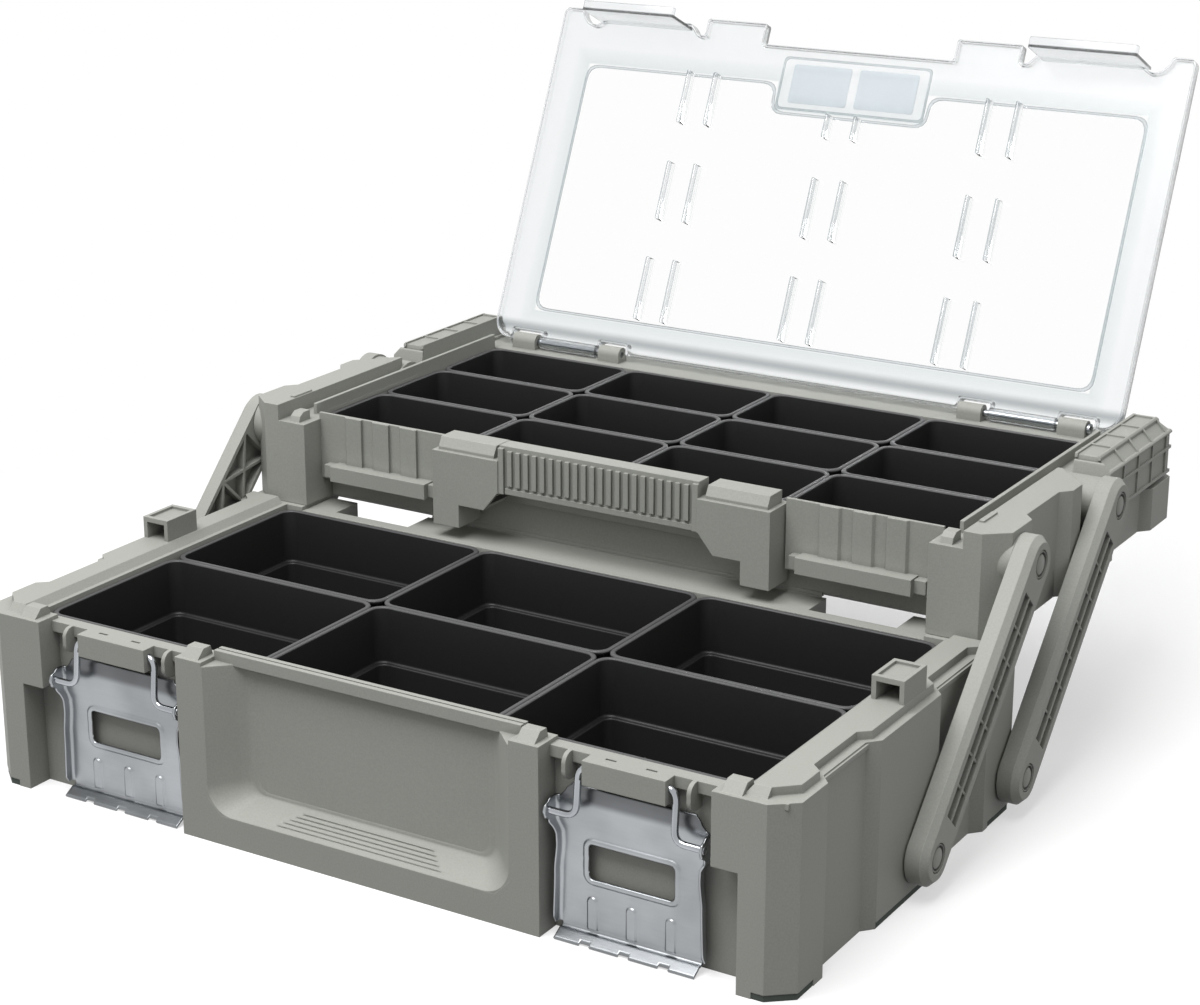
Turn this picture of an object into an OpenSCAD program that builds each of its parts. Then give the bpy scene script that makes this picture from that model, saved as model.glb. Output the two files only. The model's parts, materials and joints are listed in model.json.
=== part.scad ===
/* [Shells] */
// Width of both shells over their side walls
body_w = 567; // [556:1:600]
// Depth of the base, front to back
body_d = 297; // [296:1:305]
// Height of the base at the tops of its corner posts
base_h = 115; // [112:1:120]
// Height of the tray shoulders above the base posts
tray_h = 69.7; // [69:0.1:72]
// Wall thickness of the base skins
skin = 3; // [2.5:0.1:3.5]
// Wall thickness of the tray skins
tray_skin = 2.3; // [2:0.1:2.4]
// Wall thickness of the inner tubs
tub_wall = 2.5; // [2:0.1:2.8]
// Depth of the two recesses that break up each side wall
side_step = 6.5; // [4:0.5:7]
// Length of the slanted run at the ends of a side recess
step_run = 7.5; // [6:0.5:9]
// Corner chamfer, measured across the front
corner_x = 14.5; // [12:0.5:16]
// Corner chamfer, measured along the side
corner_y = 12; // [10:0.5:14]
// Gap between pieces that rest on each other
seat_gap = 0.3; // [0.1:0.1:0.4]

/* [Base] */
// Height of the rim and rear deck that the large bins lie level with
rim_z = 112.5; // [110:0.5:113]
// Height of the raised lip along each side
lip_h = 5; // [3:0.5:5]
// Width of a front corner post
post_w = 33; // [30:1:34]
// Width of the post below its head
leg_w = 16.5; // [15:0.5:18]
// Height of the step between leg and post head
head_z = 71.4; // [66:0.5:74]
// Half width of the centre panel between the latch bays
panel_half = 128; // [127:0.5:129]
// Width of the posts at the ends of the centre panel
panel_post = 19.5; // [18:0.5:21]
// Depth of the latch bays
bay_d = 17.5; // [17:0.5:17.5]
// Depth of the recess in the centre panel
recess_d = 18.5; // [16:0.5:18.5]
// Height of the foot pads
foot_h = 4; // [2:0.5:5]
// Width of each rear hand bay
hand_w = 60.5; // [50:0.5:64]
// Depth of each rear hand bay
hand_d = 24.5; // [18:0.5:25]

/* [Bins] */
// Front edge of the base bins
bins_y = 20.8; // [20.8:0.1:21.5]
// Half width of the row of base bins
bins_half = 249; // [244:0.5:249.5]
// Depth of the rows of base bins together
bins_d = 242; // [236:0.5:243]
// Columns of bins in the base
base_cols = 3; // [2:1:4]
// Rows of bins in the base
base_rows = 2; // [1:1:3]
// Columns of bins in the tray
tray_cols = 4; // [3:1:5]
// Rows of bins in the tray
tray_rows = 3; // [2:1:4]
// Wall thickness of a bin
bin_wall = 1.8; // [1.4:0.1:2.2]
// Width of the bead round a bin's rim
bead_w = 3; // [2.6:0.1:4]
// Height of the bead round a bin's rim
bead_h = 3; // [2:0.5:5]
// Corner radius of a bin's rim
bin_r = 10; // [8:0.5:14]
// Inset of a bin's lower half
bin_step = 3.6; // [3.4:0.1:4]

/* [Arms] */
// Distance between the two pivots of an arm
arm_span = 191.5; // [190:0.1:193]
// Lean of the open arms from the vertical, in degrees
arm_lean = 44.2; // [44:0.1:44.6]
// Radius of an arm's rounded ends
arm_r = 17.5; // [16:0.5:18.5]
// Thickness of an arm
arm_t = 13.2; // [12:0.1:15]
// Height of the lower pivots
pivot_z = 26.5; // [26:0.1:28]
// Distance of the rear lower pivots from the front of the base
pivot_rear = 287.5; // [285:0.5:288]
// Distance between the front and rear pivots
pivot_pitch = 130.5; // [129:0.5:132]
// Diameter of a pivot pin
pin_d = 14; // [12:0.5:15]
// Diameter of a pivot pin's root in its shell
root_d = 11; // [8:0.5:12]
// Radial running clearance of the pivots
run_gap = 0.08; // [0.03:0.01:0.1]
// Gap between an arm and the wall beside it
arm_gap = 1.3; // [1:0.1:2]

/* [Tray] */
// Depth of the tray behind its small bins
rear_shelf = 41.7; // [39:0.1:44]
// Height of the rims of the small bins above the base posts
small_rim = 56.4; // [55:0.1:57.5]
// Half width of the row of small bins
small_half = 243; // [240:0.5:243]
// Front edge of the small bins
small_y = 28.2; // [28:0.1:28.6]
// Depth of the rows of small bins together
small_d = 221.1; // [205:0.1:224]
// Front face of the fluted front walls
flute_y = 17; // [16.5:0.5:18]
// Half width of the inner faces of the shoulders
shoulder_x = 257; // [256.5:0.5:258]
// Height of the channels beside the rails above the base posts
channel_h = 58.5; // [57.5:0.5:60]

/* [Lid] */
// Half width of the lid
lid_half = 254; // [252.5:0.5:254.5]
// Thickness of the clear sheet
lid_t = 2.4; // [2:0.1:2.6]
// Height of the lid's outer face above the base posts
lid_h = 69.5; // [69.3:0.1:70.5]
// Depth of the lid's skirt
skirt_h = 8; // [7:0.5:8.5]
// Distance of the lid hinge behind the small bins
hinge_back = 13.2; // [12:0.1:14]
// Height of the lid hinge above the base posts
hinge_h = 61.6; // [61:0.1:62]
// Opening angle of the lid, in degrees
lid_open = 114.3; // [100:0.1:116]
// Diameter of a hinge rod
rod_d = 5; // [4:0.1:5.5]

/* [Latches] */
// Distance of each latch from the middle
latch_x = 180.6; // [180:0.1:181.5]
// Half width of a latch plate at its ears
ear_half = 48.5; // [46:0.1:49]
// Thickness of the plate's sheet
plate_t = 1.2; // [1:0.1:1.5]
// Diameter of the wire bail
wire_d = 3.6; // [3:0.1:3.8]
// Height of the bail pivot
bail_z = 107; // [106.5:0.1:107.5]
// Distance of the bail pivot from the front
bail_y = 7; // [6.8:0.1:7.5]
// Height of the plate's ears as the latch hangs
ear_z = 77.5; // [77:0.1:78]
// Distance of the plate's ears from the front as the latch hangs
ear_y = 4; // [3.8:0.1:4.4]

/* [Hidden] */

far = 400;
eps = 0.01;
hw = body_w / 2;
tray_z = base_h + seat_gap;
lip_z = base_h + lip_h;
reach = 2 * arm_span * sin(arm_lean);
pivots = [pivot_rear - pivot_pitch, pivot_rear];
tray_pivot_z = pivot_z + arm_span * cos(arm_lean);
tray_pivots = [for (y = pivots) y - reach / 2];
arm_x = hw + arm_gap;
post_x = hw - corner_x - post_w;
leg_x = hw - corner_x - leg_w;
deck_y = bins_y + bins_d;
tub_half = bins_half + seat_gap;
small_z = base_h + small_rim;
tray_d = small_y + small_d + rear_shelf;
hinge_y = small_y + small_d + hinge_back;
channel_z = base_h + channel_h;
shoulder_z = base_h + tray_h;
lid_z = base_h + lid_h;
hinge_z = base_h + hinge_h;
grey = "#8f9088";
black = "#232323";
steel = "#aab0b6";

// Side recesses: where each one starts and ends, measured from the front
recesses = [[41, 107], [184, 255]];
rear_chamfer = 4;

// Points along the right-hand wall up to depth d
function wall_points(d) = [
    [hw - corner_x, 0],
    [hw, corner_y],
    [hw, recesses[0][0]],
    [hw - side_step, recesses[0][0] + step_run],
    [hw - side_step, recesses[0][1] - step_run],
    [hw, recesses[0][1]],
    [hw, recesses[1][0]],
    [hw - side_step, recesses[1][0] + step_run],
    [hw - side_step, recesses[1][1] - step_run],
    [hw, recesses[1][1]],
    [hw, d - rear_chamfer],
    [hw - rear_chamfer, d]
];
function mirrored(p) = [for (i = [len(p) - 1:-1:0]) [-p[i][0], p[i][1]]];
function outline(d) = concat(wall_points(d), mirrored(wall_points(d)));

// A closed outline moved inwards by e, corner by corner
function left_of(a, b) = [a[1] - b[1], b[0] - a[0]] / norm(b - a);
function inset(p, e) = [for (i = [0:len(p) - 1])
    let (n = len(p), a = left_of(p[(i + n - 1) % n], p[i]), b = left_of(p[i], p[(i + 1) % n]))
    p[i] + e * (a + b) / (1 + a * b)];

module both_sides() {
    children();
    mirror([1, 0, 0]) children();
}

// A box from its lowest to its highest corner
module block(a, b) {
    translate(a) cube([b[0] - a[0], b[1] - a[1], b[2] - a[2]]);
}

// A prism along X with its outline given as [y, z] points
module prism_x(x0, x1, pts) {
    translate([x0, 0, 0]) rotate([90, 0, 90]) linear_extrude(x1 - x0) polygon(pts);
}

// A prism along Y with its outline given as [x, z] points
module prism_y(y0, y1, pts) {
    translate([0, y1, 0]) rotate([90, 0, 0]) linear_extrude(y1 - y0) polygon(pts);
}

// An upright prism with its outline given as [x, y] points
module prism_z(z0, z1, pts) {
    translate([0, 0, z0]) linear_extrude(z1 - z0) polygon(pts);
}

// A cylinder along X
module rod_x(x0, x1, y, z, d, fn = 64) {
    translate([x0, y, z]) rotate([0, 90, 0]) cylinder(d = d, h = x1 - x0, $fn = fn);
}

// An upright block with rounded corners
module round_block(x0, y0, x1, y1, z0, z1, r) {
    translate([0, 0, z0]) linear_extrude(z1 - z0) {
        translate([x0 + r, y0]) square([x1 - x0 - 2 * r, y1 - y0]);
        translate([x0, y0 + r]) square([x1 - x0, y1 - y0 - 2 * r]);
        for (x = [x0 + r, x1 - r], y = [y0 + r, y1 - r])
            translate([x, y]) circle(r = r, $fn = 32);
    }
}

/* ---------------- Base ---------------- */

bump_w = 12;
bump_front = 2.2;
bump_run = [6, 12.4, 14];
bump_h = 5.6;
lip_in = 256;
lip_foot = 249.8;
lip_edge = 5.8;
lip_front = 6;
lip_end = reach - 5;
socket_y = [146.5, 176];
socket_h = 19.5;
socket_wall = 3;
block_half = 26.2;
block_low = 98;
block_front = 2.4;
fin_out = 39.2;
fin_t = 2.6;
fin_low = 96;
panel_floor = 19;
panel_back = 29;
recess_half = 108;
recess_back = 88;
band_y = 13;
band_top = rim_z + 6.4;
groove_n = 5;
hand_x = 183.3;
boss_d = 30;
floor_lift = 2;
pocket_top = rim_z - 1.5;

module locating_bump(x) {
    prism_x(x - bump_w / 2, x + bump_w / 2, [[bump_front, base_h - 1],
        [bump_front + bump_run[2], base_h - 1], [bump_front + bump_run[2], base_h],
        [bump_front + bump_run[1], base_h + bump_h],
        [bump_front + bump_run[0], base_h + bump_h], [bump_front, base_h]]);
}

// Raised lip along the right-hand side, stepped like the wall below it
module side_lip() {
    difference() {
        prism_y(lip_front, lip_end, [[lip_foot, rim_z - 1], [lip_in, lip_z],
            [hw - lip_edge, lip_z], [hw - lip_edge + 0.7, base_h - 1],
            [hw - lip_edge + 0.7, rim_z - 1]]);
        for (r = recesses)
            prism_z(base_h - 1, lip_z + 1, [[hw, r[0] - 1], [hw, r[1] + 1],
                [hw - lip_edge + 0.7, r[1] - 1], [hw - side_step - lip_edge, r[1] - step_run],
                [hw - side_step - lip_edge, r[0] + step_run], [hw - lip_edge + 0.7, r[0] + 1]]);
        prism_x(200, hw, [[lip_front - 1, base_h], [lip_front, base_h],
            [lip_front + 5.5, lip_z + 1], [lip_front - 1, lip_z + 1]]);
        prism_z(base_h, lip_z + 1, [[hw - corner_x - 3, lip_front - 1], [hw, lip_front - 1],
            [hw, corner_y + 10], [hw - lip_edge, corner_y + 10],
            [hw - corner_x - 3, lip_front + 5]]);
    }
}

// Open-fronted box on each side lip
module side_socket() {
    top = base_h + socket_h;
    difference() {
        block([shoulder_x, socket_y[0], lip_z - 1], [hw - 6, socket_y[1], top]);
        block([shoulder_x + socket_wall, socket_y[0] - 1, lip_z],
            [hw - 6 - socket_wall, socket_y[1] - socket_wall, top - 3.4]);
        block([shoulder_x + 2.4, socket_y[0] + socket_wall, top - 1.8],
            [hw - 8.4, socket_y[1] - socket_wall, top + 1]);
    }
}

// One thin rounded fin beside a bail
module latch_fin(x) {
    r = 6;
    translate([x - fin_t / 2, 0, 0]) {
        block([0, 4.5 + r, fin_low], [fin_t, bay_d + 1, rim_z]);
        block([0, 4.5, fin_low + r], [fin_t, bay_d, rim_z - r]);
        for (z = [fin_low + r, rim_z - r]) rod_x(0, fin_t, 4.5 + r, z, 2 * r, 32);
    }
}

// Block and fins that carry one bail
module latch_mount(x) {
    difference() {
        block([x - block_half, block_front, block_low], [x + block_half, bay_d + 1, rim_z]);
        for (s = [-12.8, 12.8])
            block([x + s - 3.4, 7.8 + 2.5, block_low + 8], [x + s + 3.4, 16, rim_z + 1]);
        rod_x(x - block_half - 1, x + block_half + 1, bail_y, bail_z, wire_d + 2 * run_gap, 32);
    }
    for (s = [-fin_out, fin_out]) latch_fin(x + s);
}

// The recess in the centre panel, with a sloped floor and slanted sides
module panel_recess() {
    side = recess_half - recess_back;
    low = 10;
    intersection() {
        prism_x(-far, far, [[-1, panel_floor], [0, panel_floor],
            [recess_d, panel_back], [recess_d, rim_z], [band_y, rim_z],
            [band_y, base_h + 9], [-1, base_h + 9]]);
        prism_z(0, base_h + 9, [[-recess_half, -1], [recess_half, -1], [recess_half, 0],
            [recess_back + side * 0.25, recess_d - 4], [recess_back, recess_d],
            [-recess_back, recess_d], [-recess_back - side * 0.25, recess_d - 4],
            [-recess_half, 0]]);
        prism_y(-1, recess_d, [[-recess_half + low, panel_floor - eps],
            [recess_half - low, panel_floor - eps], [recess_half, panel_floor + low],
            [recess_half, base_h + 9], [-recess_half, base_h + 9],
            [-recess_half, panel_floor + low]]);
    }
}

// Fine grooves along the recess floor
module floor_grooves() {
    slope = atan((panel_back - panel_floor) / recess_d);
    for (i = [0:groove_n - 1])
        translate([-60 + i * 3, 0, panel_floor]) rotate([slope, 0, 0])
            translate([0, 3.6 + i * 3, -0.7]) cube([120 - i * 6, 1.2, 2]);
}

// Everything in front of the front wall that is cut away round the bays
module front_cuts() {
    for (s = [-1, 1]) {
        x0 = s > 0 ? panel_half : -post_x;
        x1 = s > 0 ? post_x : -panel_half;
        block([x0, -1, rim_z], [x1, bins_y, base_h + 1]);
        block([x0, -1, rim_z - 7], [x1, bay_d - 5.5, rim_z + 1]);
        block([x0, -1, -1], [x1, bay_d, rim_z - 7 + eps]);
    }
    both_sides() {
        block([post_x - 1, -1, -1], [leg_x, bay_d, head_z]);
        block([post_x - eps, bay_d, rim_z], [post_x + 9, bins_y, base_h + 1]);
    }
    x2 = panel_half - panel_post;
    block([-x2, -1, rim_z], [x2, band_y, base_h + 1]);
    block([-panel_half, bins_y, rim_z], [panel_half, bins_y + 5, base_h + 1]);
}

// The raised band over the centre panel, with a fine slot along its top
module front_band() {
    x = panel_half - panel_post + eps;
    difference() {
        block([-x, band_y, rim_z - 1], [x, bins_y - seat_gap, band_top]);
        block([-x - 1, 16.2, band_top - 1.4], [x + 1, 17.4, band_top + 1]);
    }
}

// Hollows below the rims, open underneath
module base_pockets() {
    inner = inset(outline(body_d), skin);
    tub = tub_half + tub_wall;
    both_sides() difference() {
        prism_z(-1, pocket_top, inner);
        block([-far, -far, -2], [tub, far, base_h]);
        block([0, -1, -2], [leg_x + skin, bay_d + skin, base_h]);
        block([0, -1, head_z - 2 * skin], [leg_x + skin + 10, bay_d + skin, base_h]);
        for (y = pivots) rod_x(hw - 14, hw, y, pivot_z, boss_d);
    }
    difference() {
        prism_z(-1, pocket_top, inner);
        block([-far, -far, -2], [far, deck_y + seat_gap + tub_wall, base_h]);
        both_sides() {
            block([hand_x - hand_w / 2 - skin, body_d - hand_d - skin, -2],
                [hand_x + hand_w / 2 + skin, far, base_h]);
            rod_x(hw - 14, hw, pivot_rear, pivot_z, boss_d);
        }
    }
    // under the panel and inside its end posts
    block([-recess_back, skin, -1], [recess_back, recess_d, panel_floor - skin]);
    both_sides() block([recess_half + skin, skin, -1],
        [panel_half - skin, recess_d - 1, pocket_top]);
}

// The areas that rest on foot pads, pulled in by e
module foot_areas(z0, z1, e) {
    pads = [[-1, 30], [recesses[0][1], recesses[1][0]], [262, body_d + 1]];
    intersection() {
        prism_z(z0, z1, inset(outline(body_d), e));
        both_sides() for (p = pads)
            block([leg_x + skin + 6, p[0] + e, z0 - 1], [far, p[1] - e, z1 + 1]);
    }
}

module base_shell() {
    color(grey) difference() {
        union() {
            difference() {
                union() {
                    prism_z(0, base_h, outline(body_d));
                    both_sides() intersection() {
                        for (y = pivots) rod_x(hw - 14, hw + arm_gap - 0.4, y, pivot_z, boss_d);
                        block([0, 0, 0], [far, body_d - 0.5, base_h]);
                    }
                }
                front_cuts();
                panel_recess();
                floor_grooves();
                block([-post_x, deck_y - 1, rim_z], [post_x, body_d + 1, base_h + 1]);
            }
            both_sides() {
                side_lip();
                side_socket();
                locating_bump(post_x + 11);
                locating_bump(panel_half - panel_post / 2);
            }
            front_band();
            for (s = [-latch_x, latch_x]) latch_mount(s);
        }
        // room for the bins
        block([-tub_half, recess_d + tub_wall, floor_lift + skin],
            [tub_half, deck_y + seat_gap, far]);
        block([-tub_half, bins_y - seat_gap, rim_z - bead_h - 1],
            [tub_half, deck_y + seat_gap, far]);
        block([-tub_half, bins_y, -1], [tub_half, deck_y, floor_lift]);
        base_pockets();
        both_sides() {
            block([hand_x - hand_w / 2, body_d - hand_d, -1],
                [hand_x + hand_w / 2, body_d + 1, rim_z + 1]);
            for (y = pivots) rod_x(hw - 13, hw + arm_gap, y, pivot_z, root_d + 0.1);
        }
        foot_areas(-1, foot_h, -0.2);
    }
}

// Pads under the corners and the middles of the sides
module base_feet() {
    color("#4b524d") difference() {
        foot_areas(0, foot_h, 0.4);
        for (s = [-1, 1], y = [60:4:250])
            block([s * (hw - 9) - 6, y, -1], [s * (hw - 9) + 6, y + 1.2, 1]);
    }
}

/* ---------------- Bins ---------------- */

// One open bin with a beaded rim and a step half-way down
module bin(x0, y0, x1, y1, z0, zs, z1) {
    in1 = 1.2;
    in2 = in1 + bin_step;
    r1 = bin_r - in1;
    r2 = bin_r - in2;
    color(black) difference() {
        union() {
            round_block(x0, y0, x1, y1, z1 - bead_h, z1, bin_r);
            round_block(x0 + in1, y0 + in1, x1 - in1, y1 - in1, zs, z1 - bead_h / 2, r1);
            round_block(x0 + in2, y0 + in2, x1 - in2, y1 - in2, z0, zs + 1, r2);
        }
        round_block(x0 + bead_w, y0 + bead_w, x1 - bead_w, y1 - bead_w,
            zs + bin_wall, z1 + 1, bin_r - bead_w);
        round_block(x0 + in2 + bin_wall, y0 + in2 + bin_wall, x1 - in2 - bin_wall,
            y1 - in2 - bin_wall, z0 + bin_wall, z1, r2 - bin_wall);
    }
}

module large_bin(n) {
    w = 2 * bins_half / base_cols;
    d = bins_d / base_rows;
    g = seat_gap / 2;
    x = -bins_half + (n % base_cols) * w;
    y = bins_y + floor(n / base_cols) * d;
    bin(x + g, y + g, x + w - g, y + d - g, floor_lift + skin + seat_gap, rim_z * 0.53, rim_z);
}

tub_low = tray_z - 2;
small_floor = tub_low + tub_wall - 0.3;
small_step = small_floor + 0.44 * (small_z - small_floor);

module small_bin(n) {
    w = 2 * small_half / tray_cols;
    d = small_d / tray_rows;
    g = seat_gap / 2;
    x = -small_half + (n % tray_cols) * w;
    y = small_y + floor(n / tray_cols) * d + reach;
    bin(x + g, y + g, x + w - g, y + d - g, small_floor + seat_gap, small_step, small_z);
}

/* ---------------- Arms and pins ---------------- */

arm_chamfer = 4;
head_d = pin_d + 3.5;
head_t = 2.6;

// Snap pin along X from inside a shell out through an arm
module pivot_pin(y, z, deep) {
    difference() {
        union() {
            rod_x(hw - deep, hw + arm_gap, y, z, root_d);
            rod_x(hw + arm_gap - eps, arm_x + arm_t - head_t, y, z, pin_d);
            rod_x(arm_x + arm_t - head_t - eps, arm_x + arm_t - 0.3, y, z, head_d);
        }
        // slits that let the snap head close up
        for (s = [-1, 1])
            block([arm_x + arm_t - 4, y - 5.5, z + s * 5.6 - 0.7],
                [arm_x + arm_t + 1, y + 5.5, z + s * 5.6 + 0.7]);
    }
}

// Rounded upper end of an arm, chamfered on its outer edge
module arm_end() {
    rotate([90, 0, 90]) rotate_extrude(angle = 180, $fn = 96)
        polygon([[0, 0], [arm_r, 0], [arm_r, arm_t - arm_chamfer],
            [arm_r - arm_chamfer, arm_t], [0, arm_t]]);
}

// One arm along Z, lower pivot at the origin, inner face at x = 0
module arm() {
    start = 23;
    edge = 3;
    rib = 0.8;
    n = 7;
    pitch = (arm_span - 2 * start) / n;
    bays = 4;
    long = (arm_span - 2 * start) / bays;
    truss = atan((2 * (arm_r - edge)) / long);
    difference() {
        union() {
            translate([0, 0, arm_span]) arm_end();
            mirror([0, 0, 1]) arm_end();
            prism_z(0, arm_span, [[0, -arm_r], [arm_t - arm_chamfer, -arm_r],
                [arm_t, -arm_r + arm_chamfer], [arm_t, arm_r - arm_chamfer],
                [arm_t - arm_chamfer, arm_r], [0, arm_r]]);
        }
        for (z = [0, arm_span]) {
            rod_x(-1, arm_t + 1, 0, z, pin_d + 2 * run_gap);
            rod_x(arm_t - head_t - 0.3, arm_t + 1, 0, z, head_d + 0.8);
        }
        // ladder of channels in the outer face
        difference() {
            block([arm_t - 3.2, -8.8, start], [arm_t + 1, 8.8, arm_span - start]);
            block([0, -rib, 0], [arm_t, rib, arm_span]);
            for (i = [1:n - 1])
                block([0, -arm_r, start + i * pitch - rib],
                    [arm_t - 1.2, arm_r, start + i * pitch + rib]);
        }
        // open truss in the inner face
        difference() {
            block([-1, -arm_r + edge, start - 3], [6.8, arm_r - edge, arm_span - start + 3]);
            for (i = [0:bays - 1], s = [-1, 1])
                translate([-2, 0, start + (i + 0.5) * long]) rotate([s * truss, 0, 0])
                    translate([0, -1.1, -0.72 * long]) cube([10, 2.2, 1.44 * long]);
            for (i = [1:bays - 1])
                block([-2, -arm_r, start + i * long - 1.1], [8, arm_r, start + i * long + 1.1]);
        }
    }
}

module placed_arm(y) {
    color(grey) translate([arm_x, y, pivot_z]) rotate([-arm_lean, 0, 0]) arm();
}

module base_pins() {
    color(grey) both_sides() for (y = pivots) pivot_pin(y, pivot_z, 12.5);
}

module tray_pins() {
    color(grey) both_sides() {
        pivot_pin(tray_pivots[0] + reach, tray_pivot_z, 12.5);
        pivot_pin(tray_pivots[1] + reach, tray_pivot_z, 20);
    }
}

/* ---------------- Tray ---------------- */

tub_out = small_half + seat_gap + 3.2;
tub_front = small_y + 1.2 + bin_step - seat_gap - tub_wall;
upper_front = small_y - seat_gap - 2;
tub_rear = small_y + small_d + seat_gap;
tub_step = small_step - seat_gap - tub_wall;
rail_x = [243.4, 246];
rail_top = base_h + 66.2;
ledge_x = post_x - 1;
deck_z = 145;
wall_x = [shoulder_x - 2.7, shoulder_x];
shoulder_end = [122, 147];
flute_x = [134.8, 227];
flute_top = base_h + 63;
flute_low = 131;
flute_back = flute_y + 2;
flute_t = 2.2;
flute_start = 153.1;
flute_pitch = 23;
flute_w = 13;
flute_slant = 1.7;
catch_y = 8.5;
catch_z = [133, 143.8];
catch_half = 39.7;
tab_x = [241, 249];
shelf_z = hinge_z - 5.4;
ear_w = [[137.5, 155.5], [212, 232]];
ear_r = 5.8;
cap_x = [wall_x[1] + seat_gap, hw - 0.5];
cap_z = [148.5, 187.5];
cap_y = [tray_d - 119, tray_d - 4];

// Plan of the shoulder on the right-hand side
function shoulder_plan() = [[shoulder_x, 0], [hw - corner_x, 0], [hw, corner_y],
    [hw, recesses[0][0]], [hw - side_step, recesses[0][0] + step_run],
    [hw - side_step, recesses[0][1] - step_run], [hw, recesses[0][1]],
    [hw, shoulder_end[0]], [shoulder_x + 3, shoulder_end[1]], [shoulder_x, shoulder_end[1]]];

// Plan of the right half of the lower body, up to depth d
function lower_plan(d) = concat([[ledge_x, 0]], wall_points(d), [[ledge_x, d]]);

// Upper outline of the tub and the channels beside it
module tray_solid() {
    // tub, narrower at the front below its step
    block([-tub_out, tub_front, tub_low], [tub_out, tub_rear + tub_wall, small_z - 2]);
    block([-tub_out, upper_front, tub_step], [tub_out, tub_front + 1, small_z - 2]);
    // rear shelf and its wall
    block([-wall_x[1], tub_rear, shelf_z - 2.5], [wall_x[1], tray_d - 4, shelf_z]);
    block([-wall_x[1], tray_d - 6.5, tray_z], [wall_x[1], tray_d - 4, shelf_z]);
    both_sides() {
        // front post, side wall and lower body with its deck
        difference() {
            prism_z(tray_z, deck_z, lower_plan(tray_d));
            prism_z(tray_z - 1, deck_z - 2.5, inset(lower_plan(tray_d), tray_skin));
            block([0, 30, tray_z - 1], [tub_out, far, base_h + 80]);
        }
        difference() {
            union() {
                prism_z(deck_z - 2.6, channel_z, concat([[ledge_x, 0]],
                    [for (i = [1:8]) shoulder_plan()[i]],
                    [[shoulder_x, shoulder_end[1]], [ledge_x, shoulder_end[1]]]));
                prism_z(channel_z - 1, shoulder_z, shoulder_plan());
            }
            prism_z(deck_z - 3, channel_z - 2.5, inset(concat([[ledge_x, 0]],
                [for (i = [1:8]) shoulder_plan()[i]],
                [[shoulder_x, shoulder_end[1]], [ledge_x, shoulder_end[1]]]), tray_skin));
            intersection() {
                prism_z(channel_z - 4, shoulder_z - 2.5, inset(lower_plan(tray_d), tray_skin));
                block([shoulder_x + tray_skin, 0, 0], [far, shoulder_end[0] - tray_skin, far]);
            }
        }
        // rear part of the side wall and the channel floor
        block([wall_x[0], shoulder_end[1] - 4, deck_z - 2.6],
            [wall_x[1], tray_d - 4, channel_z]);
        block([tub_out - 1, upper_front, channel_z - 2.5], [wall_x[1], tub_rear, channel_z]);
        // rail for the lid
        block([rail_x[0], upper_front, small_z - 12], [rail_x[1], tub_rear, rail_top]);
        // bosses for the arms' upper pivots
        rod_x(hw - 20, hw + arm_gap - 0.4, tray_pivots[0], tray_pivot_z, boss_d + 4);
        rod_x(wall_x[0] + 1, hw + arm_gap - 0.4, tray_pivots[1], tray_pivot_z, boss_d + 2);
        // lugs that carry the rear caps
        for (y = [cap_y[0] + 20, cap_y[1] - 25])
            block([cap_x[0] + 4, y, deck_z - 1], [cap_x[1] - 8, y + 9, cap_z[0] + 3]);
        // small tab and locating bump on the front corner
        block([shoulder_x + 1, 20, shoulder_z - 1], [shoulder_x + 4.5, 40, shoulder_z + 1.2]);
        prism_x(tab_x[0], tab_x[1], [[2.5, channel_z - 1], [15, channel_z - 1], [15, channel_z + 6.5],
            [8, channel_z + 6.5], [4, channel_z + 4], [2.5, channel_z]]);
    }
    front_walls();
}

// Fluted walls with their catch bars, left and right of the handle
module front_walls() {
    both_sides() {
        difference() {
            block([flute_x[0], flute_back, flute_low],
                [flute_x[1] + 9, tub_front + 1, small_z - 1]);
            block([flute_x[0] - 1, flute_back + flute_t, flute_low - 1],
                [flute_x[1] + 10, upper_front, small_z - 3.5]);
            block([flute_x[0] - 1, flute_back + flute_t, flute_low - 1],
                [flute_x[1] + 10, tub_front - eps, tub_step - eps]);
        }
        block([flute_x[0] - 8, flute_back, flute_low],
            [ledge_x + 1, flute_back + flute_t, flute_top]);
        for (x = [flute_start:flute_pitch:flute_x[1] - flute_w])
            prism_z(flute_low, flute_top, [[x, flute_y], [x + flute_w, flute_y],
                [x + flute_w + flute_slant, flute_back], [x + flute_w + flute_slant, flute_back + 1],
                [x, flute_back + 1]]);
        block([latch_x - catch_half, catch_y, catch_z[0]],
            [latch_x + catch_half, flute_back + 1, catch_z[1]]);
        block([latch_x - catch_half - 6.5, catch_y + 4.5, catch_z[0] + 1],
            [latch_x + catch_half + 8, flute_back + 1, catch_z[1] - 1]);
    }
}

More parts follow.
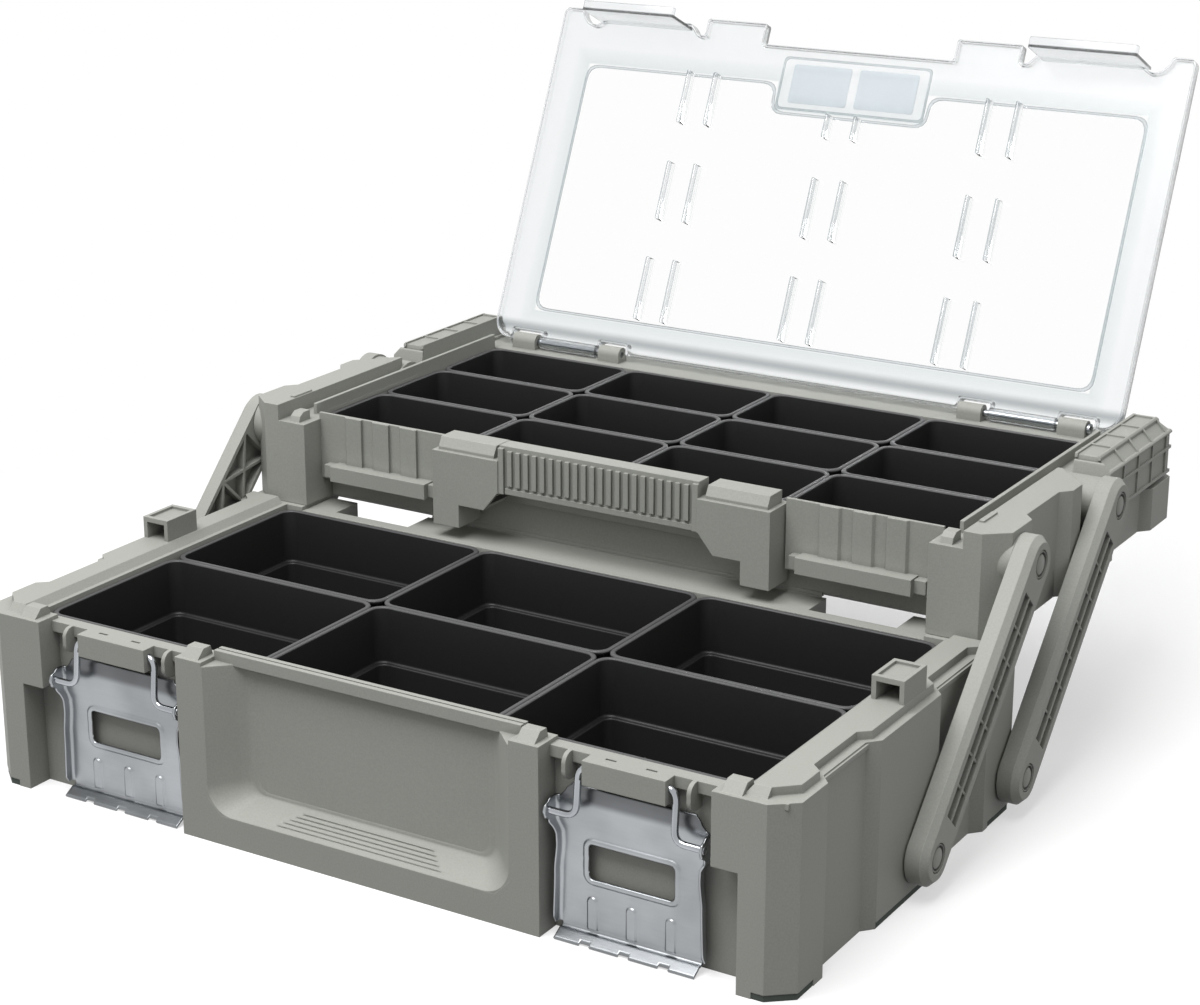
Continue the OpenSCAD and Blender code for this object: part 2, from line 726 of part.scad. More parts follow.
// Everything is drawn closed, then moved back to the open place
module tray_shell() {
    color(grey) translate([0, reach, 0]) difference() {
        union() {
            tray_solid();
            both_sides() for (e = ear_w) {
                rod_x(e[0], e[1], hinge_y, hinge_z, 2 * ear_r, 48);
                block([e[0], hinge_y - ear_r, shelf_z - 1], [e[1], hinge_y + ear_r, hinge_z]);
            }
        }
        // room for the bins
        block([-small_half - seat_gap, tub_front + tub_wall, small_floor],
            [small_half + seat_gap, tub_rear, far]);
        block([-small_half - seat_gap, upper_front + 2, tub_step + tub_wall],
            [small_half + seat_gap, tub_rear, far]);
        // bevel that clears the rear posts of the base
        prism_x(-tub_out - 1, tub_out + 1, [[tub_front - 1, tub_low - 1],
            [tub_front + 2.6, tub_low - 1], [tub_front + 2.6, tub_low],
            [tub_front, tub_low + 2.6], [tub_front - 1, tub_low + 2.6]]);
        // gap behind the handle, and the pivots
        block([-flute_x[0] + 6, -1, tray_z - 1], [flute_x[0] - 6, upper_front, 200]);
        both_sides() {
            for (i = [0, 1])
                rod_x(hw - (i == 0 ? 13 : 20.5), hw + arm_gap, tray_pivots[i], tray_pivot_z,
                    root_d + 0.1);
            rod_x(ear_w[0][0] - 1, ear_w[1][1] + 1, hinge_y, hinge_z, rod_d + 0.1, 32);
        }
    }
}

// Outer form of a rear cap, pulled in by e
module cap_form(e) {
    intersection() {
        prism_y(cap_y[0], cap_y[1], [[cap_x[0], cap_z[0]], [cap_x[1] - e, cap_z[0]],
            [cap_x[1] - e, cap_z[1] - 10], [cap_x[1] - 9 - e, cap_z[1] - e],
            [cap_x[0], cap_z[1] - e]]);
        prism_x(cap_x[0] - 1, cap_x[1] + 1, [[cap_y[0] + e, cap_z[0] - 1],
            [cap_y[1] - e, cap_z[0] - 1], [cap_y[1] - e, cap_z[1] - 9],
            [cap_y[1] - 8 - e, cap_z[1] + 1], [cap_y[0] + e + 3, cap_z[1] + 1],
            [cap_y[0] + e, cap_z[1] - 14]]);
    }
}

module rear_cap() {
    rib = 2;
    ribs = 5;
    pitch = (cap_y[1] - cap_y[0] - 8 - rib) / (ribs - 1);
    color(grey) translate([0, reach, 0]) difference() {
        union() {
            cap_form(1.2);
            intersection() {
                cap_form(0);
                union() {
                    for (i = [0:ribs - 1])
                        block([cap_x[0], cap_y[0] + i * pitch, cap_z[0]],
                            [far, cap_y[0] + i * pitch + rib, cap_z[1]]);
                    for (z = [cap_z[0], cap_z[0] + 17, cap_z[1] - 11])
                        block([cap_x[1] - 10, 0, z], [far, far, z + rib]);
                    block([cap_x[0], 0, cap_z[1] - 3], [cap_x[0] + rib, far, cap_z[1]]);
                    block([cap_x[1] - 10, 0, cap_z[1] - 3], [cap_x[1] - 8, far, cap_z[1]]);
                }
            }
        }
        // hollow below, over the lugs
        block([cap_x[0] + 2.5, cap_y[0] + 4, cap_z[0] - 1],
            [cap_x[1] - 4, cap_y[1] - 5, cap_z[1] - 15]);
        rod_x(cap_x[0] - 1, far, tray_pivots[1], tray_pivot_z, boss_d + 3);
    }
}

/* ---------------- Handle ---------------- */

handle_half = 127.5;
handle_z = 173.5;
arch_z = 151;
leg_z = base_h + bump_h + 1;
grip_half = 75.4;
grip_y = [3, 15.2];
grip_rise = 69;
grip_z = base_h + grip_rise;
grip_cap_y = [3, 6.5, 22];
grip_cap_z = base_h + 66.8;
rib_n = 22;
rib_pitch = 6.36;
rib_w = 3.4;
cap_half = [80, 124.2];

// Right half of the handle's front, as [x, z] points
function handle_side() = [[grip_half, arch_z], [76, arch_z], [87, 137.5], [107, 137.5],
    [107, leg_z], [handle_half, leg_z], [handle_half, handle_z], [grip_half, handle_z]];

module carry_handle() {
    color(grey) translate([0, reach, 0]) {
        difference() {
            union() {
                both_sides() {
                    prism_y(0, upper_front - 0.1, handle_side());
                    prism_x(cap_half[0], cap_half[1], [[grip_cap_y[0], handle_z - 1],
                        [grip_cap_y[2], handle_z - 1], [grip_cap_y[2], grip_cap_z],
                        [grip_cap_y[1], grip_cap_z], [grip_cap_y[0], handle_z + 2]]);
                }
                block([-grip_half - eps, grip_y[0], arch_z], [grip_half + eps, grip_y[1], grip_z]);
                both_sides() block([grip_half - 4, 0.8, arch_z],
                    [grip_half + eps, grip_y[1], grip_z - 1.5]);
            }
            // hollows in the ends, open towards the back
            both_sides() {
                block([grip_half + 3, 3, 141], [handle_half - 3, upper_front, handle_z - 3]);
                block([110, 3, leg_z + 3], [handle_half - 3, upper_front, 142]);
            }
        }
        // vertical ribs on the grip
        for (i = [0:rib_n - 1]) {
            x = (i - (rib_n - 1) / 2) * rib_pitch;
            block([x - rib_w / 2, 1.2, arch_z + 6], [x + rib_w / 2, grip_y[0] + 1, grip_z - 3]);
        }
        block([-71, 2, arch_z], [71, grip_y[0] + 1, arch_z + 4]);
    }
}

/* ---------------- Lid ---------------- */

skirt_t = 1.8;
skirt_z = lid_z - skirt_h;
field_x = 60;
field_y = [22, 62];
label_x = 3;
label_w = 48;
label_y = [27, 57];
label_t = 0.45;
knuckle_x = [158.5, 208.5];
knuckle_d = 9;
apron_x = [142, 221];
apron_y = 7.4;
apron_low = 147.8;

// Right half of the lid in plan, from the middle of the front edge to the rear edge
function lid_half_plan() = [[0, 16], [76.8, 16], [76.8, 0.4], [127.2, 0.4], [127.2, 13.5],
    [133, 13.5], [136, 8], [140, 5], [216, 5], [218, 10], [224, 12.6], [230, 10], [234.5, 3],
    [236, 0.6], [lid_half - 5, 0.4], [lid_half, 5], [lid_half, hinge_y - 12],
    [lid_half - 2.5, hinge_y - 5.5], [lid_half - 8, hinge_y - 1.5], [lid_half - 14, hinge_y]];
function lid_plan() = concat(lid_half_plan(), mirrored([for (i = [1:len(lid_half_plan()) - 1])
    lid_half_plan()[i]]));

// Rounded frame of width w standing z high, outline x0..x1 by y0..y1
module frame_line(x0, y0, x1, y1, z0, z1, w, r) {
    difference() {
        round_block(x0, y0, x1, y1, z0, z1, r);
        round_block(x0 + w, y0 + w, x1 - w, y1 - w, z0 - 1, z1 + 1, r - w);
    }
}

// The lid as it lies closed
module lid_closed() {
    difference() {
        prism_z(skirt_z, lid_z, lid_plan());
        prism_z(skirt_z - 1, lid_z - lid_t, inset(lid_plan(), skirt_t));
        // notches for the hinge ears
        both_sides() for (e = ear_w)
            block([e[0] - 1.5, hinge_y - ear_r - 1.2, skirt_z - 5],
                [e[1] + 3.2, hinge_y + 10, lid_z + 1]);
        // groove in the skirt where the hinge rods pass
        both_sides()
            rod_x(ear_w[0][0] - 1, ear_w[1][1] + 3, hinge_y, hinge_z, rod_d + 2 * run_gap, 32);
        // shallow window field
        round_block(-223, 66, 223, 233, lid_z - 0.7, lid_z + 1, 9);
        round_block(-223, 45, -64, 80, lid_z - 0.7, lid_z + 1, 9);
        round_block(64, 45, 223, 80, lid_z - 0.7, lid_z + 1, 9);
    }
    // raised lines round the window and the label field
    difference() {
        frame_line(-227, 41, 227, 237, lid_z - 1, lid_z + 0.6, 2, 12);
        block([-field_x, field_y[0], lid_z - 2], [field_x, field_y[1], lid_z + 2]);
    }
    frame_line(-field_x, field_y[0], field_x, field_y[1], lid_z - 1, lid_z + 0.6, 1.6, 5);
    // ribs below the panel
    for (x = [-150, 0, 150], y = [72, 122, 172], s = [-6, 6])
        block([x + s - 1, y - 12, lid_z - lid_t - 1.6], [x + s + 1, y + 14, lid_z - 0.8]);
    both_sides() {
        // front apron with its lip
        block([apron_x[0], apron_y, apron_low], [apron_x[1], apron_y + 2.2, lid_z - 1]);
        block([apron_x[0], 1.8, apron_low], [apron_x[1], apron_y + 2.2, apron_low + 2.3]);
        for (x = [apron_x[0], apron_x[1] - 1.8])
            prism_x(x, x + 1.8, [[1.8, apron_low], [apron_y + 1, apron_low],
                [apron_y + 1, skirt_z + 1], [5, skirt_z + 1], [5, apron_low + 12]]);
        // knuckles round the hinge rods
        difference() {
            union() {
                rod_x(knuckle_x[0], knuckle_x[1], hinge_y, hinge_z, knuckle_d, 48);
                block([knuckle_x[0], hinge_y - 6, hinge_z],
                    [knuckle_x[1], hinge_y + 1.5, lid_z - lid_t + 0.5]);
            }
            rod_x(knuckle_x[0] - 1, knuckle_x[1] + 1, hinge_y, hinge_z, rod_d + 2 * run_gap, 32);
        }
    }
}

module lid_place() {
    translate([0, reach + hinge_y, hinge_z]) rotate([-lid_open, 0, 0])
        translate([0, -hinge_y, -hinge_z]) children();
}

module lid_panel() {
    color([0.85, 0.92, 0.9, 0.35]) lid_place() lid_closed();
}

// Two blank labels on the front middle of the lid
module lid_labels() {
    color("#c9ccce") lid_place() both_sides()
        block([label_x, label_y[0], lid_z + 0.05],
            [label_x + label_w, label_y[1], lid_z + 0.05 + label_t]);
}

// Rods through the hinge ears
module hinge_rods() {
    color(steel) translate([0, reach, 0]) both_sides() {
        rod_x(ear_w[0][0] + 1, ear_w[1][1] + 0.8, hinge_y, hinge_z, rod_d, 32);
        rod_x(ear_w[1][1] + 0.3, ear_w[1][1] + 2.3, hinge_y, hinge_z, rod_d + 3, 32);
    }
}

/* ---------------- Latches ---------------- */

leg_in = 30.8;
plate_y = 12;
plate_low = 3.2;
plate_high = 92;
plate_half = 47;
waist_half = 44.5;
window = [27, 38.3, 58.7];
hook_depth = 15.4;
lip_y = 1.3;

// Wire bail: bar through the block, two legs and two stubs, drawn round the origin in x
module bail() {
    r = wire_d / 2;
    dy = ear_y - bail_y;
    dz = ear_z - bail_z;
    lean = atan(dy / dz);
    color(steel) {
        rod_x(-leg_in, leg_in, bail_y, bail_z, wire_d, 32);
        both_sides() {
            translate([leg_in, bail_y, bail_z]) sphere(d = wire_d + 0.3, $fn = 32);
            translate([leg_in, bail_y, bail_z]) rotate([180 - lean, 0, 0])
                cylinder(d = wire_d, h = norm([dy, dz]), $fn = 32);
            translate([leg_in, ear_y, ear_z]) sphere(d = wire_d + 0.3, $fn = 32);
            rod_x(leg_in, ear_half + 0.6, ear_y, ear_z, wire_d, 32);
            rod_x(ear_half + 0.35, ear_half + 1.8, ear_y, ear_z, wire_d + 2.2, 32);
        }
    }
}

// Half outline of the plate, seen from the front, as [x, z] points
function plate_side() = [[plate_half, plate_low], [waist_half, 58], [waist_half + 0.5, 64],
    [ear_half, 70.5], [ear_half, 83], [ear_half - 4, 88], [ear_half - 8, plate_high]];

module latch_plate() {
    t = plate_t;
    side = plate_side();
    color(steel) difference() {
        union() {
            prism_y(plate_y, plate_y + t, concat(side, mirrored(side)));
            // side flanges with their ears
            both_sides() {
                for (i = [0:len(side) - 3])
                    prism_z(side[i][1], side[i + 1][1], [[side[i][0] - t, plate_y - 5.5],
                        [side[i][0], plate_y - 5.5], [side[i][0], plate_y + t],
                        [side[i][0] - t, plate_y + t]]);
                difference() {
                    union() {
                        rod_x(ear_half - t, ear_half, ear_y, ear_z, 9, 32);
                        block([ear_half - t, ear_y, ear_z - 4.5],
                            [ear_half, plate_y + t, ear_z + 4.5]);
                    }
                }
            }
            // top edge curled back and bottom lip turned forward
            block([-ear_half + 8, plate_y, plate_high - t], [ear_half - 8, hook_depth, plate_high]);
            block([-plate_half, plate_y - 3.5, plate_low], [plate_half, plate_y + t, plate_low + t]);
            for (i = [0:3])
                block([-plate_half + i * 25.2, lip_y, plate_low],
                    [-plate_half + i * 25.2 + 18.4, plate_y, plate_low + t]);
            // frame round the window
            frame_xz(window[0] + 3, window[1] - 3, window[2] + 3, 2.2);
            // stiffening ribs
            for (x = [-25, 0, 25]) u_rib(x);
        }
        block([-window[0], plate_y - 5, window[1]], [window[0], plate_y + 5, window[2]]);
        both_sides() rod_x(ear_half - 3, ear_half + 1, ear_y, ear_z, wire_d + 2 * run_gap, 32);
    }
}

// Raised rectangular frame on the sheet, x half width and z range given
module frame_xz(x, z0, z1, w) {
    difference() {
        block([-x, plate_y - 1, z0], [x, plate_y + 0.5, z1]);
        block([-x + w, plate_y - 2, z0 + w], [x - w, plate_y + 1, z1 - w]);
    }
}

module u_rib(x) {
    w = 4;
    t = 1.2;
    top = 27;
    translate([x, plate_y + 0.3, 0]) rotate([90, 0, 0]) linear_extrude(1) difference() {
        union() {
            translate([-w, plate_low + 1]) square([2 * w, top - w - plate_low - 1]);
            translate([0, top - w]) circle(r = w, $fn = 32);
        }
        translate([-w + t, plate_low]) square([2 * (w - t), top - w - plate_low]);
        translate([0, top - w]) circle(r = w - t, $fn = 32);
    }
}

base_shell();
base_feet();
large_bin(0);  // large_bin_1
large_bin(1);  // large_bin_2
large_bin(2);  // large_bin_3
large_bin(3);  // large_bin_4
large_bin(4);  // large_bin_5
large_bin(5);  // large_bin_6
base_pins();
tray_shell();
mirror([1, 0, 0]) rear_cap();  // rear_cap_left
rear_cap();  // rear_cap_right
carry_handle();
small_bin(0);  // small_bin_1
small_bin(1);  // small_bin_2
small_bin(2);  // small_bin_3
small_bin(3);  // small_bin_4
small_bin(4);  // small_bin_5
small_bin(5);  // small_bin_6
small_bin(6);  // small_bin_7
small_bin(7);  // small_bin_8
small_bin(8);  // small_bin_9
small_bin(9);  // small_bin_10
small_bin(10);  // small_bin_11
small_bin(11);  // small_bin_12
tray_pins();
placed_arm(pivots[0]);  // arm_right_front
placed_arm(pivots[1]);  // arm_right_rear
mirror([1, 0, 0]) placed_arm(pivots[0]);  // arm_left_front
mirror([1, 0, 0]) placed_arm(pivots[1]);  // arm_left_rear
hinge_rods();
lid_panel();
lid_labels();
translate([-latch_x, 0, 0]) bail();  // bail_left
translate([latch_x, 0, 0]) bail();  // bail_right
translate([-latch_x, 0, 0]) latch_plate();  // latch_plate_left
translate([latch_x, 0, 0]) latch_plate();  // latch_plate_right
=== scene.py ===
# %% [markdown]
# # A cantilever tool box, dressed for rendering
#
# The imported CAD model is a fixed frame: base, tray, arms, lid, latches and bins are already in
# their places, in metres, with the box standing open. This lesson gives every moulded shell its
# finish and builds the pieces whose curves need a finer surface than a CAD solid has: the lift-out
# bins, the pivot pins, the face of the front recess, the wire bails, the pressed latch plates, the
# clear lid and its labels.

# %% Load the frame
import json

import bpy
import numpy as np
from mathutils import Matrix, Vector


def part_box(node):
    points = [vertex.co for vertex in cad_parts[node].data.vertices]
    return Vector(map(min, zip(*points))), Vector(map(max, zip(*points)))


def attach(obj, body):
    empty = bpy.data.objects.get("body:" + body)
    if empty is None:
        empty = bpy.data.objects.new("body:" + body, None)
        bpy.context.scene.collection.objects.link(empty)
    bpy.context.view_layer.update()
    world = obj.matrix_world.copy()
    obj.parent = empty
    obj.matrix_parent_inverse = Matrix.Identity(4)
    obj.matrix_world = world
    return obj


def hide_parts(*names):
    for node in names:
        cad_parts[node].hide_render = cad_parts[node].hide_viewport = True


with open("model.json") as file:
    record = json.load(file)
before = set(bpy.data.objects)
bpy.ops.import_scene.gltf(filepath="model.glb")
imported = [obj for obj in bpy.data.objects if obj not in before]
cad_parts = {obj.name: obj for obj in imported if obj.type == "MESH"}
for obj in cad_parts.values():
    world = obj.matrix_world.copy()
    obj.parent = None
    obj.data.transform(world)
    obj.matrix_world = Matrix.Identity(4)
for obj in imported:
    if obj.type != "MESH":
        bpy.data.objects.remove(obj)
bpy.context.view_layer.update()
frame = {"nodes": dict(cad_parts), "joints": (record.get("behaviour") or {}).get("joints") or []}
MM = 0.001
joints = {j["name"]: j for j in frame["joints"]}

# %% [markdown]
# ## Camera
#
# The box is seen from its front right, a little above the open lid's middle. A camera could be
# turned by three angles, but a place and a point to aim at are easier to read and to change, and
# `to_track_quat` works out the rotation that has no roll.

# %% Camera
CAMERA_PLACE = Vector((0.8433, -1.1024, 0.6894))
CAMERA_AIM = Vector((0.1486, 0.0310, 0.2502))
CAMERA_LENS = 78.76  # millimetres, on a sensor 36 mm wide

camera = bpy.data.objects.new("camera", bpy.data.cameras.new("camera"))
bpy.context.scene.collection.objects.link(camera)
camera.location = CAMERA_PLACE
camera.rotation_euler = (CAMERA_AIM - CAMERA_PLACE).to_track_quat("-Z", "Y").to_euler()
camera.data.lens = CAMERA_LENS
camera.data.sensor_width = 36
camera.data.sensor_fit = "HORIZONTAL"
camera.data.clip_start = 0.05
camera.data.clip_end = 60
bpy.context.scene.camera = camera
bpy.context.scene.view_settings.view_transform = "Standard"
print("camera looks along", [round(v, 3) for v in (CAMERA_AIM - CAMERA_PLACE).normalized()])

# %% [markdown]
# ## Helpers for shader nodes
#
# Every finish below is a small graph of nodes. Adding one takes three lines in Blender's own
# interface, so one helper makes a node, sets its properties and fills its sockets at once. A
# socket's value is either a number, a colour or another node's output to link from. Sums and
# ranges come back in every graph, so they have short helpers too.

# %% Node helpers
def add(tree, kind, sockets=None, **settings):
    """A new shader node of that kind. Sockets maps an input's name or number to a value or an
    output."""
    made = tree.nodes.new("ShaderNode" + kind)
    for key, value in settings.items():
        setattr(made, key, value)
    for key, value in (sockets or {}).items():
        if isinstance(value, bpy.types.NodeSocket):
            tree.links.new(value, made.inputs[key])
        else:
            made.inputs[key].default_value = value
    return made


def calc(tree, operation, *values):
    """One or two values put through an operation of the Math node."""
    return add(tree, "Math", dict(enumerate(values)), operation=operation).outputs[0]


def spread(tree, value, source=(0.0, 1.0), target=(0.0, 1.0), curve="LINEAR"):
    """The source range of a value stretched to the target range, and held at its two ends."""
    sockets = {"Value": value, "From Min": source[0], "From Max": source[1],
               "To Min": target[0], "To Max": target[1]}
    return add(tree, "MapRange", sockets, interpolation_type=curve).outputs[0]


def start_material(name):
    """An empty node material, its node tree and its object-space coordinates."""
    made = bpy.data.materials.new(name)
    made.use_nodes = True
    made.node_tree.nodes.clear()
    return made, made.node_tree, add(made.node_tree, "TexCoord").outputs["Object"]


def colour(text):
    """Linear RGBA of a colour written as six hexadecimal digits, by the sRGB curve."""
    c = np.array([int(text[i:i + 2], 16) for i in (0, 2, 4)]) / 255
    linear = np.where(c <= 0.04045, c / 12.92, ((c + 0.055) / 1.055) ** 2.4)
    return (*linear.tolist(), 1.0)


print("mid grey is", [round(v, 3) for v in colour("808080")])

# %% [markdown]
# ## Light and floor
#
# Product pictures of plastic boxes are lit by one very large soft lamp overhead and a weak light
# from all round, so that upper faces are bright, fronts are mid-toned and the far sides darkest.
# The world gives the all-round light. Rays that come straight from the camera, or through glass or
# off metal, see plain white instead, which keeps the backdrop white without lighting the box more.
# The floor does the same: it is white to the camera, and darker to the light that bounces off it.

# %% World, lamp and floor
AMBIENT = 0.54
LAMP_POWER = 79
LAMP_SIZE = 1.9
LAMP_PLACE = Vector((-0.15, -0.65, 2.4))
LAMP_AIM = Vector((0, 0.25, 0.1))
BOUNCE = 0.12  # how much of the light the floor gives back to the box
FLOOR_WHITE = 0.98
FLOOR_HALF = 9
FLOOR_MIDDLE = (0.0, 0.3, 0.0)  # the place under the open box
FLOOR_FADE = (0.3, 0.75)  # metres from there over which the floor turns into plain white
FLOOR_GLOW = 0.5  # how much of the floor's white does not come from the lamp, beside the box


def seen_directly(tree):
    """1 on a ray from the camera, off gloss or through glass, and 0 on the light that bounces."""
    ray = add(tree, "LightPath").outputs
    both = calc(tree, "MAXIMUM", ray["Is Camera Ray"], ray["Is Glossy Ray"])
    return calc(tree, "MAXIMUM", both, ray["Is Transmission Ray"])


world = bpy.data.worlds.new("studio")
world.use_nodes = True
tree = world.node_tree
tree.nodes.clear()
level = spread(tree, seen_directly(tree), target=(AMBIENT, 1.0))
sky = add(tree, "Background", {"Color": (1, 1, 1, 1), "Strength": level})
add(tree, "OutputWorld", {"Surface": sky.outputs[0]})
bpy.context.scene.world = world

lamp = bpy.data.objects.new("softbox", bpy.data.lights.new("softbox", "AREA"))
bpy.context.scene.collection.objects.link(lamp)
lamp.data.shape = "DISK"
lamp.data.size = LAMP_SIZE
lamp.data.energy = LAMP_POWER
lamp.location = LAMP_PLACE
lamp.rotation_euler = (LAMP_AIM - LAMP_PLACE).to_track_quat("-Z", "Y").to_euler()

floor_mesh = bpy.data.meshes.new("floor")
corners = [(FLOOR_HALF * x, FLOOR_HALF * y, 0) for x, y in ((-1, -1), (1, -1), (1, 1), (-1, 1))]
floor_mesh.from_pydata(corners, [], [(0, 1, 2, 3)])
floor = bpy.data.objects.new("floor", floor_mesh)
bpy.context.scene.collection.objects.link(floor)
paint, tree, place = start_material("floor_paint")
shade = spread(tree, seen_directly(tree), target=(BOUNCE, FLOOR_WHITE))
matt = add(tree, "BsdfDiffuse", {"Color": shade})
apart = add(tree, "VectorMath", {0: place, 1: FLOOR_MIDDLE}, operation="DISTANCE")
fade = spread(tree, apart.outputs["Value"], FLOOR_FADE, (FLOOR_GLOW, 1.0))
amount = calc(tree, "MULTIPLY", fade, seen_directly(tree))
white = add(tree, "Emission", {"Strength": 1.0})
joined = add(tree, "MixShader", {0: amount, 1: matt.outputs[0], 2: white.outputs[0]})
add(tree, "OutputMaterial", {"Surface": joined.outputs[0]})
floor_mesh.materials.append(paint)
print("lamp", LAMP_POWER, "W over", round(LAMP_PLACE.z, 2), "m; ambient", AMBIENT)

# %% [markdown]
# ## Finish of moulded plastic
#
# The shells are injection moulded. The mould's skin was spark eroded, so the plastic has a fine
# matt grain, and its edges are rounded by about half a millimetre and catch the light. The grain
# is a very fine noise in the bump. The Bevel node turns the normal near an edge as a rounded edge
# would, and comparing that normal with the plain one tells where the edges are, so the same node
# also drives a paler colour there: painted highlight, with a little wear from handling. Corners
# and narrow grooves get painted shade, since little light comes back out of them. The Ambient
# Occlusion node finds them by how much of its own piece stands close round a point. The steps that
# every finish is put together from, such as a noise and a bump, come first.

# %% Steps of a finish
def blend(tree, factor, first, second):
    """The first colour where the factor is 0, the second where it is 1, and a mix between."""
    sockets = {"Factor": factor, 6: first, 7: second}
    return add(tree, "Mix", sockets, data_type="RGBA").outputs[2]


def scaled(tree, shade, factor):
    """A colour times a factor."""
    sockets = {0: shade, "Scale": factor}
    return add(tree, "VectorMath", sockets, operation="SCALE").outputs[0]


def noise(tree, place, scale, detail, distortion=0.0):
    """Soft noise between 0 and 1. A larger scale makes smaller blotches."""
    sockets = {"Vector": place, "Scale": scale, "Detail": detail, "Distortion": distortion}
    return add(tree, "TexNoise", sockets).outputs["Fac"]


def bumped(tree, strength, distance, height, **rounded):
    """The plain normal, or a rounded one, tilted by the slope of a height."""
    sockets = {"Strength": strength, "Distance": distance, "Height": height, **rounded}
    return add(tree, "Bump", sockets).outputs[0]


def surface(tree, sockets):
    """A Principled shader with those sockets, as what the material shows."""
    shader = add(tree, "BsdfPrincipled", sockets)
    add(tree, "OutputMaterial", {"Surface": shader.outputs[0]})


print("steps", [step.__name__ for step in (blend, scaled, noise, bumped, surface)])

# %% Moulded plastic
CREVICE_SHADE_REACH = 7 * MM  # reach of the painted shade in corners and grooves
CREVICE_SHADE_TONE = 0.62  # tone of the painted shade at the bottom of a groove, as a share of an open face's
OPEN_SHARES = (0.3, 0.85)  # open share of the half space in a dark corner and on an open face
EDGE_LIGHT_COSINES = (1.0, 0.8)  # between the two normals, where the painted edge highlight and wear begin and where they are full
NOISE_BODY = (0.3, 0.7)  # the range that nearly all of a noise lies in
CLOUD_SCALE = 7.0
CLOUD_TONES = (0.96, 1.04)
SPECK_SCALE = 900.0
SPECK_TONES = (0.95, 1.05)
SPECK_HEIGHT = 0.2 * MM
SPECK_ROUGH = 0.08  # how far the grain moves the roughness either way
GLOSS = 0.3


def edge_light_and_wear(tree, radius):
    """The rounded normal, and a mask that is 1 on a sharp edge: one less the cosine between the
    normal rounded over that radius and the plain normal, stretched to the full range. The mask
    places painted light along edges."""
    rounded = add(tree, "Bevel", {"Radius": radius}, samples=4).outputs[0]
    plain = add(tree, "NewGeometry").outputs["Normal"]
    cosine = add(tree, "VectorMath", {0: rounded, 1: plain}, operation="DOT_PRODUCT")
    return rounded, spread(tree, cosine.outputs["Value"], EDGE_LIGHT_COSINES)


def crevice_shade(tree):
    """A factor for painted shade: 1 on open faces, falling to the shade's tone in corners and in
    grooves no wider than its reach, by the share of the half space that its own piece leaves open."""
    near = add(tree, "AmbientOcclusion", {"Distance": CREVICE_SHADE_REACH}, samples=6, only_local=True)
    return spread(tree, near.outputs["AO"], OPEN_SHARES, (CREVICE_SHADE_TONE, 1.0))


def moulded(name, base, worn, roughness, grain=0.12, radius=0.7 * MM):
    """Plastic of a base colour that is painted paler along its edges, as painted highlight with a
    little wear, and darker in its grooves as painted shade, with a fine matt grain. The worn
    colour is the edges' paler one."""
    made, tree, place = start_material(name)
    speck = noise(tree, place, SPECK_SCALE, 2.0)
    cloud = spread(tree, noise(tree, place, CLOUD_SCALE, 3.0), NOISE_BODY, CLOUD_TONES)
    fleck = spread(tree, speck, NOISE_BODY, SPECK_TONES)
    # The tone carries the painted shade of corners and grooves.
    tone = calc(tree, "MULTIPLY", calc(tree, "MULTIPLY", cloud, fleck), crevice_shade(tree))
    normal, edge = edge_light_and_wear(tree, radius)
    ends = (roughness - SPECK_ROUGH, roughness + SPECK_ROUGH)
    surface(tree, {"Base Color": scaled(tree, blend(tree, edge, colour(base), colour(worn)), tone),
                   "Roughness": spread(tree, speck, target=ends),
                   "Specular IOR Level": GLOSS,
                   "Normal": bumped(tree, grain, SPECK_HEIGHT, speck, Normal=normal)})
    return made


# The second colour of each plastic is its paler edge: painted highlight, with a little wear.
grey_plastic = moulded("moulded_grey", "959690", "A9AAA4", 0.55)
pin_plastic = moulded("pin_grey", "8E8F89", "A6A7A1", 0.5, radius=0.5 * MM)
black_plastic = moulded("moulded_black", "222222", "4A4A4A", 0.42, grain=0.08, radius=0.6 * MM)
# The rims' paler black is painted light: the rim tops face the lamp overhead.
lit_rim_plastic = moulded("scuffed_rim", "4C4C4D", "686869", 0.36, grain=0.1, radius=0.5 * MM)
# The feet's dark green-grey is painted shade: the strip under the base lies in shadow.
foot_rubber = moulded("foot_rubber", "4A514C", "5C635E", 0.8, grain=0.5)
print("plastics", grey_plastic.name, pin_plastic.name, black_plastic.name, foot_rubber.name)

# %% [markdown]
# ## Finish of zinc-plated steel
#
# The latches are pressed from rolled sheet and plated. Rolling leaves faint streaks in one
# direction, and the plating has slow cloudy patches where it is a little duller. The streaks are
# a noise stretched by a Mapping node, and the clouds a plain noise in the tone and the roughness.
# The rolled top and the lip along the foot are painted darker: painted reflection.

# %% Plated steel
TOP_REFLECTION_TONE = 0.42  # painted reflection: tone of the plating where it is rolled back, as a share of the face's
TOP_REFLECTION_FADE = 5 * MM  # height over which the face's tone falls to that
LIP_REFLECTION_TONE = 0.66  # painted reflection: tone of the lip along a plate's foot
LIP_HEIGHTS = (4.5 * MM, 8.0 * MM)  # where the lip's tone ends and where the face's begins
STREAK_SCALE = 60.0
STREAK_TONES = (0.95, 1.05)
STREAK_HEIGHT = 0.05 * MM
STREAK_BUMP = 0.012
BLUR_SCALE = 45.0  # of the clouds in the roughness
BLUR_BODY = (0.12, 0.4)  # the range that nearly all of streaks times clouds lies in
PATCH_SCALE = 26.0  # of the clouds in the tone
PATCH_BODY = (0.35, 0.65)
PATCH_TONES = (0.86, 1.1)


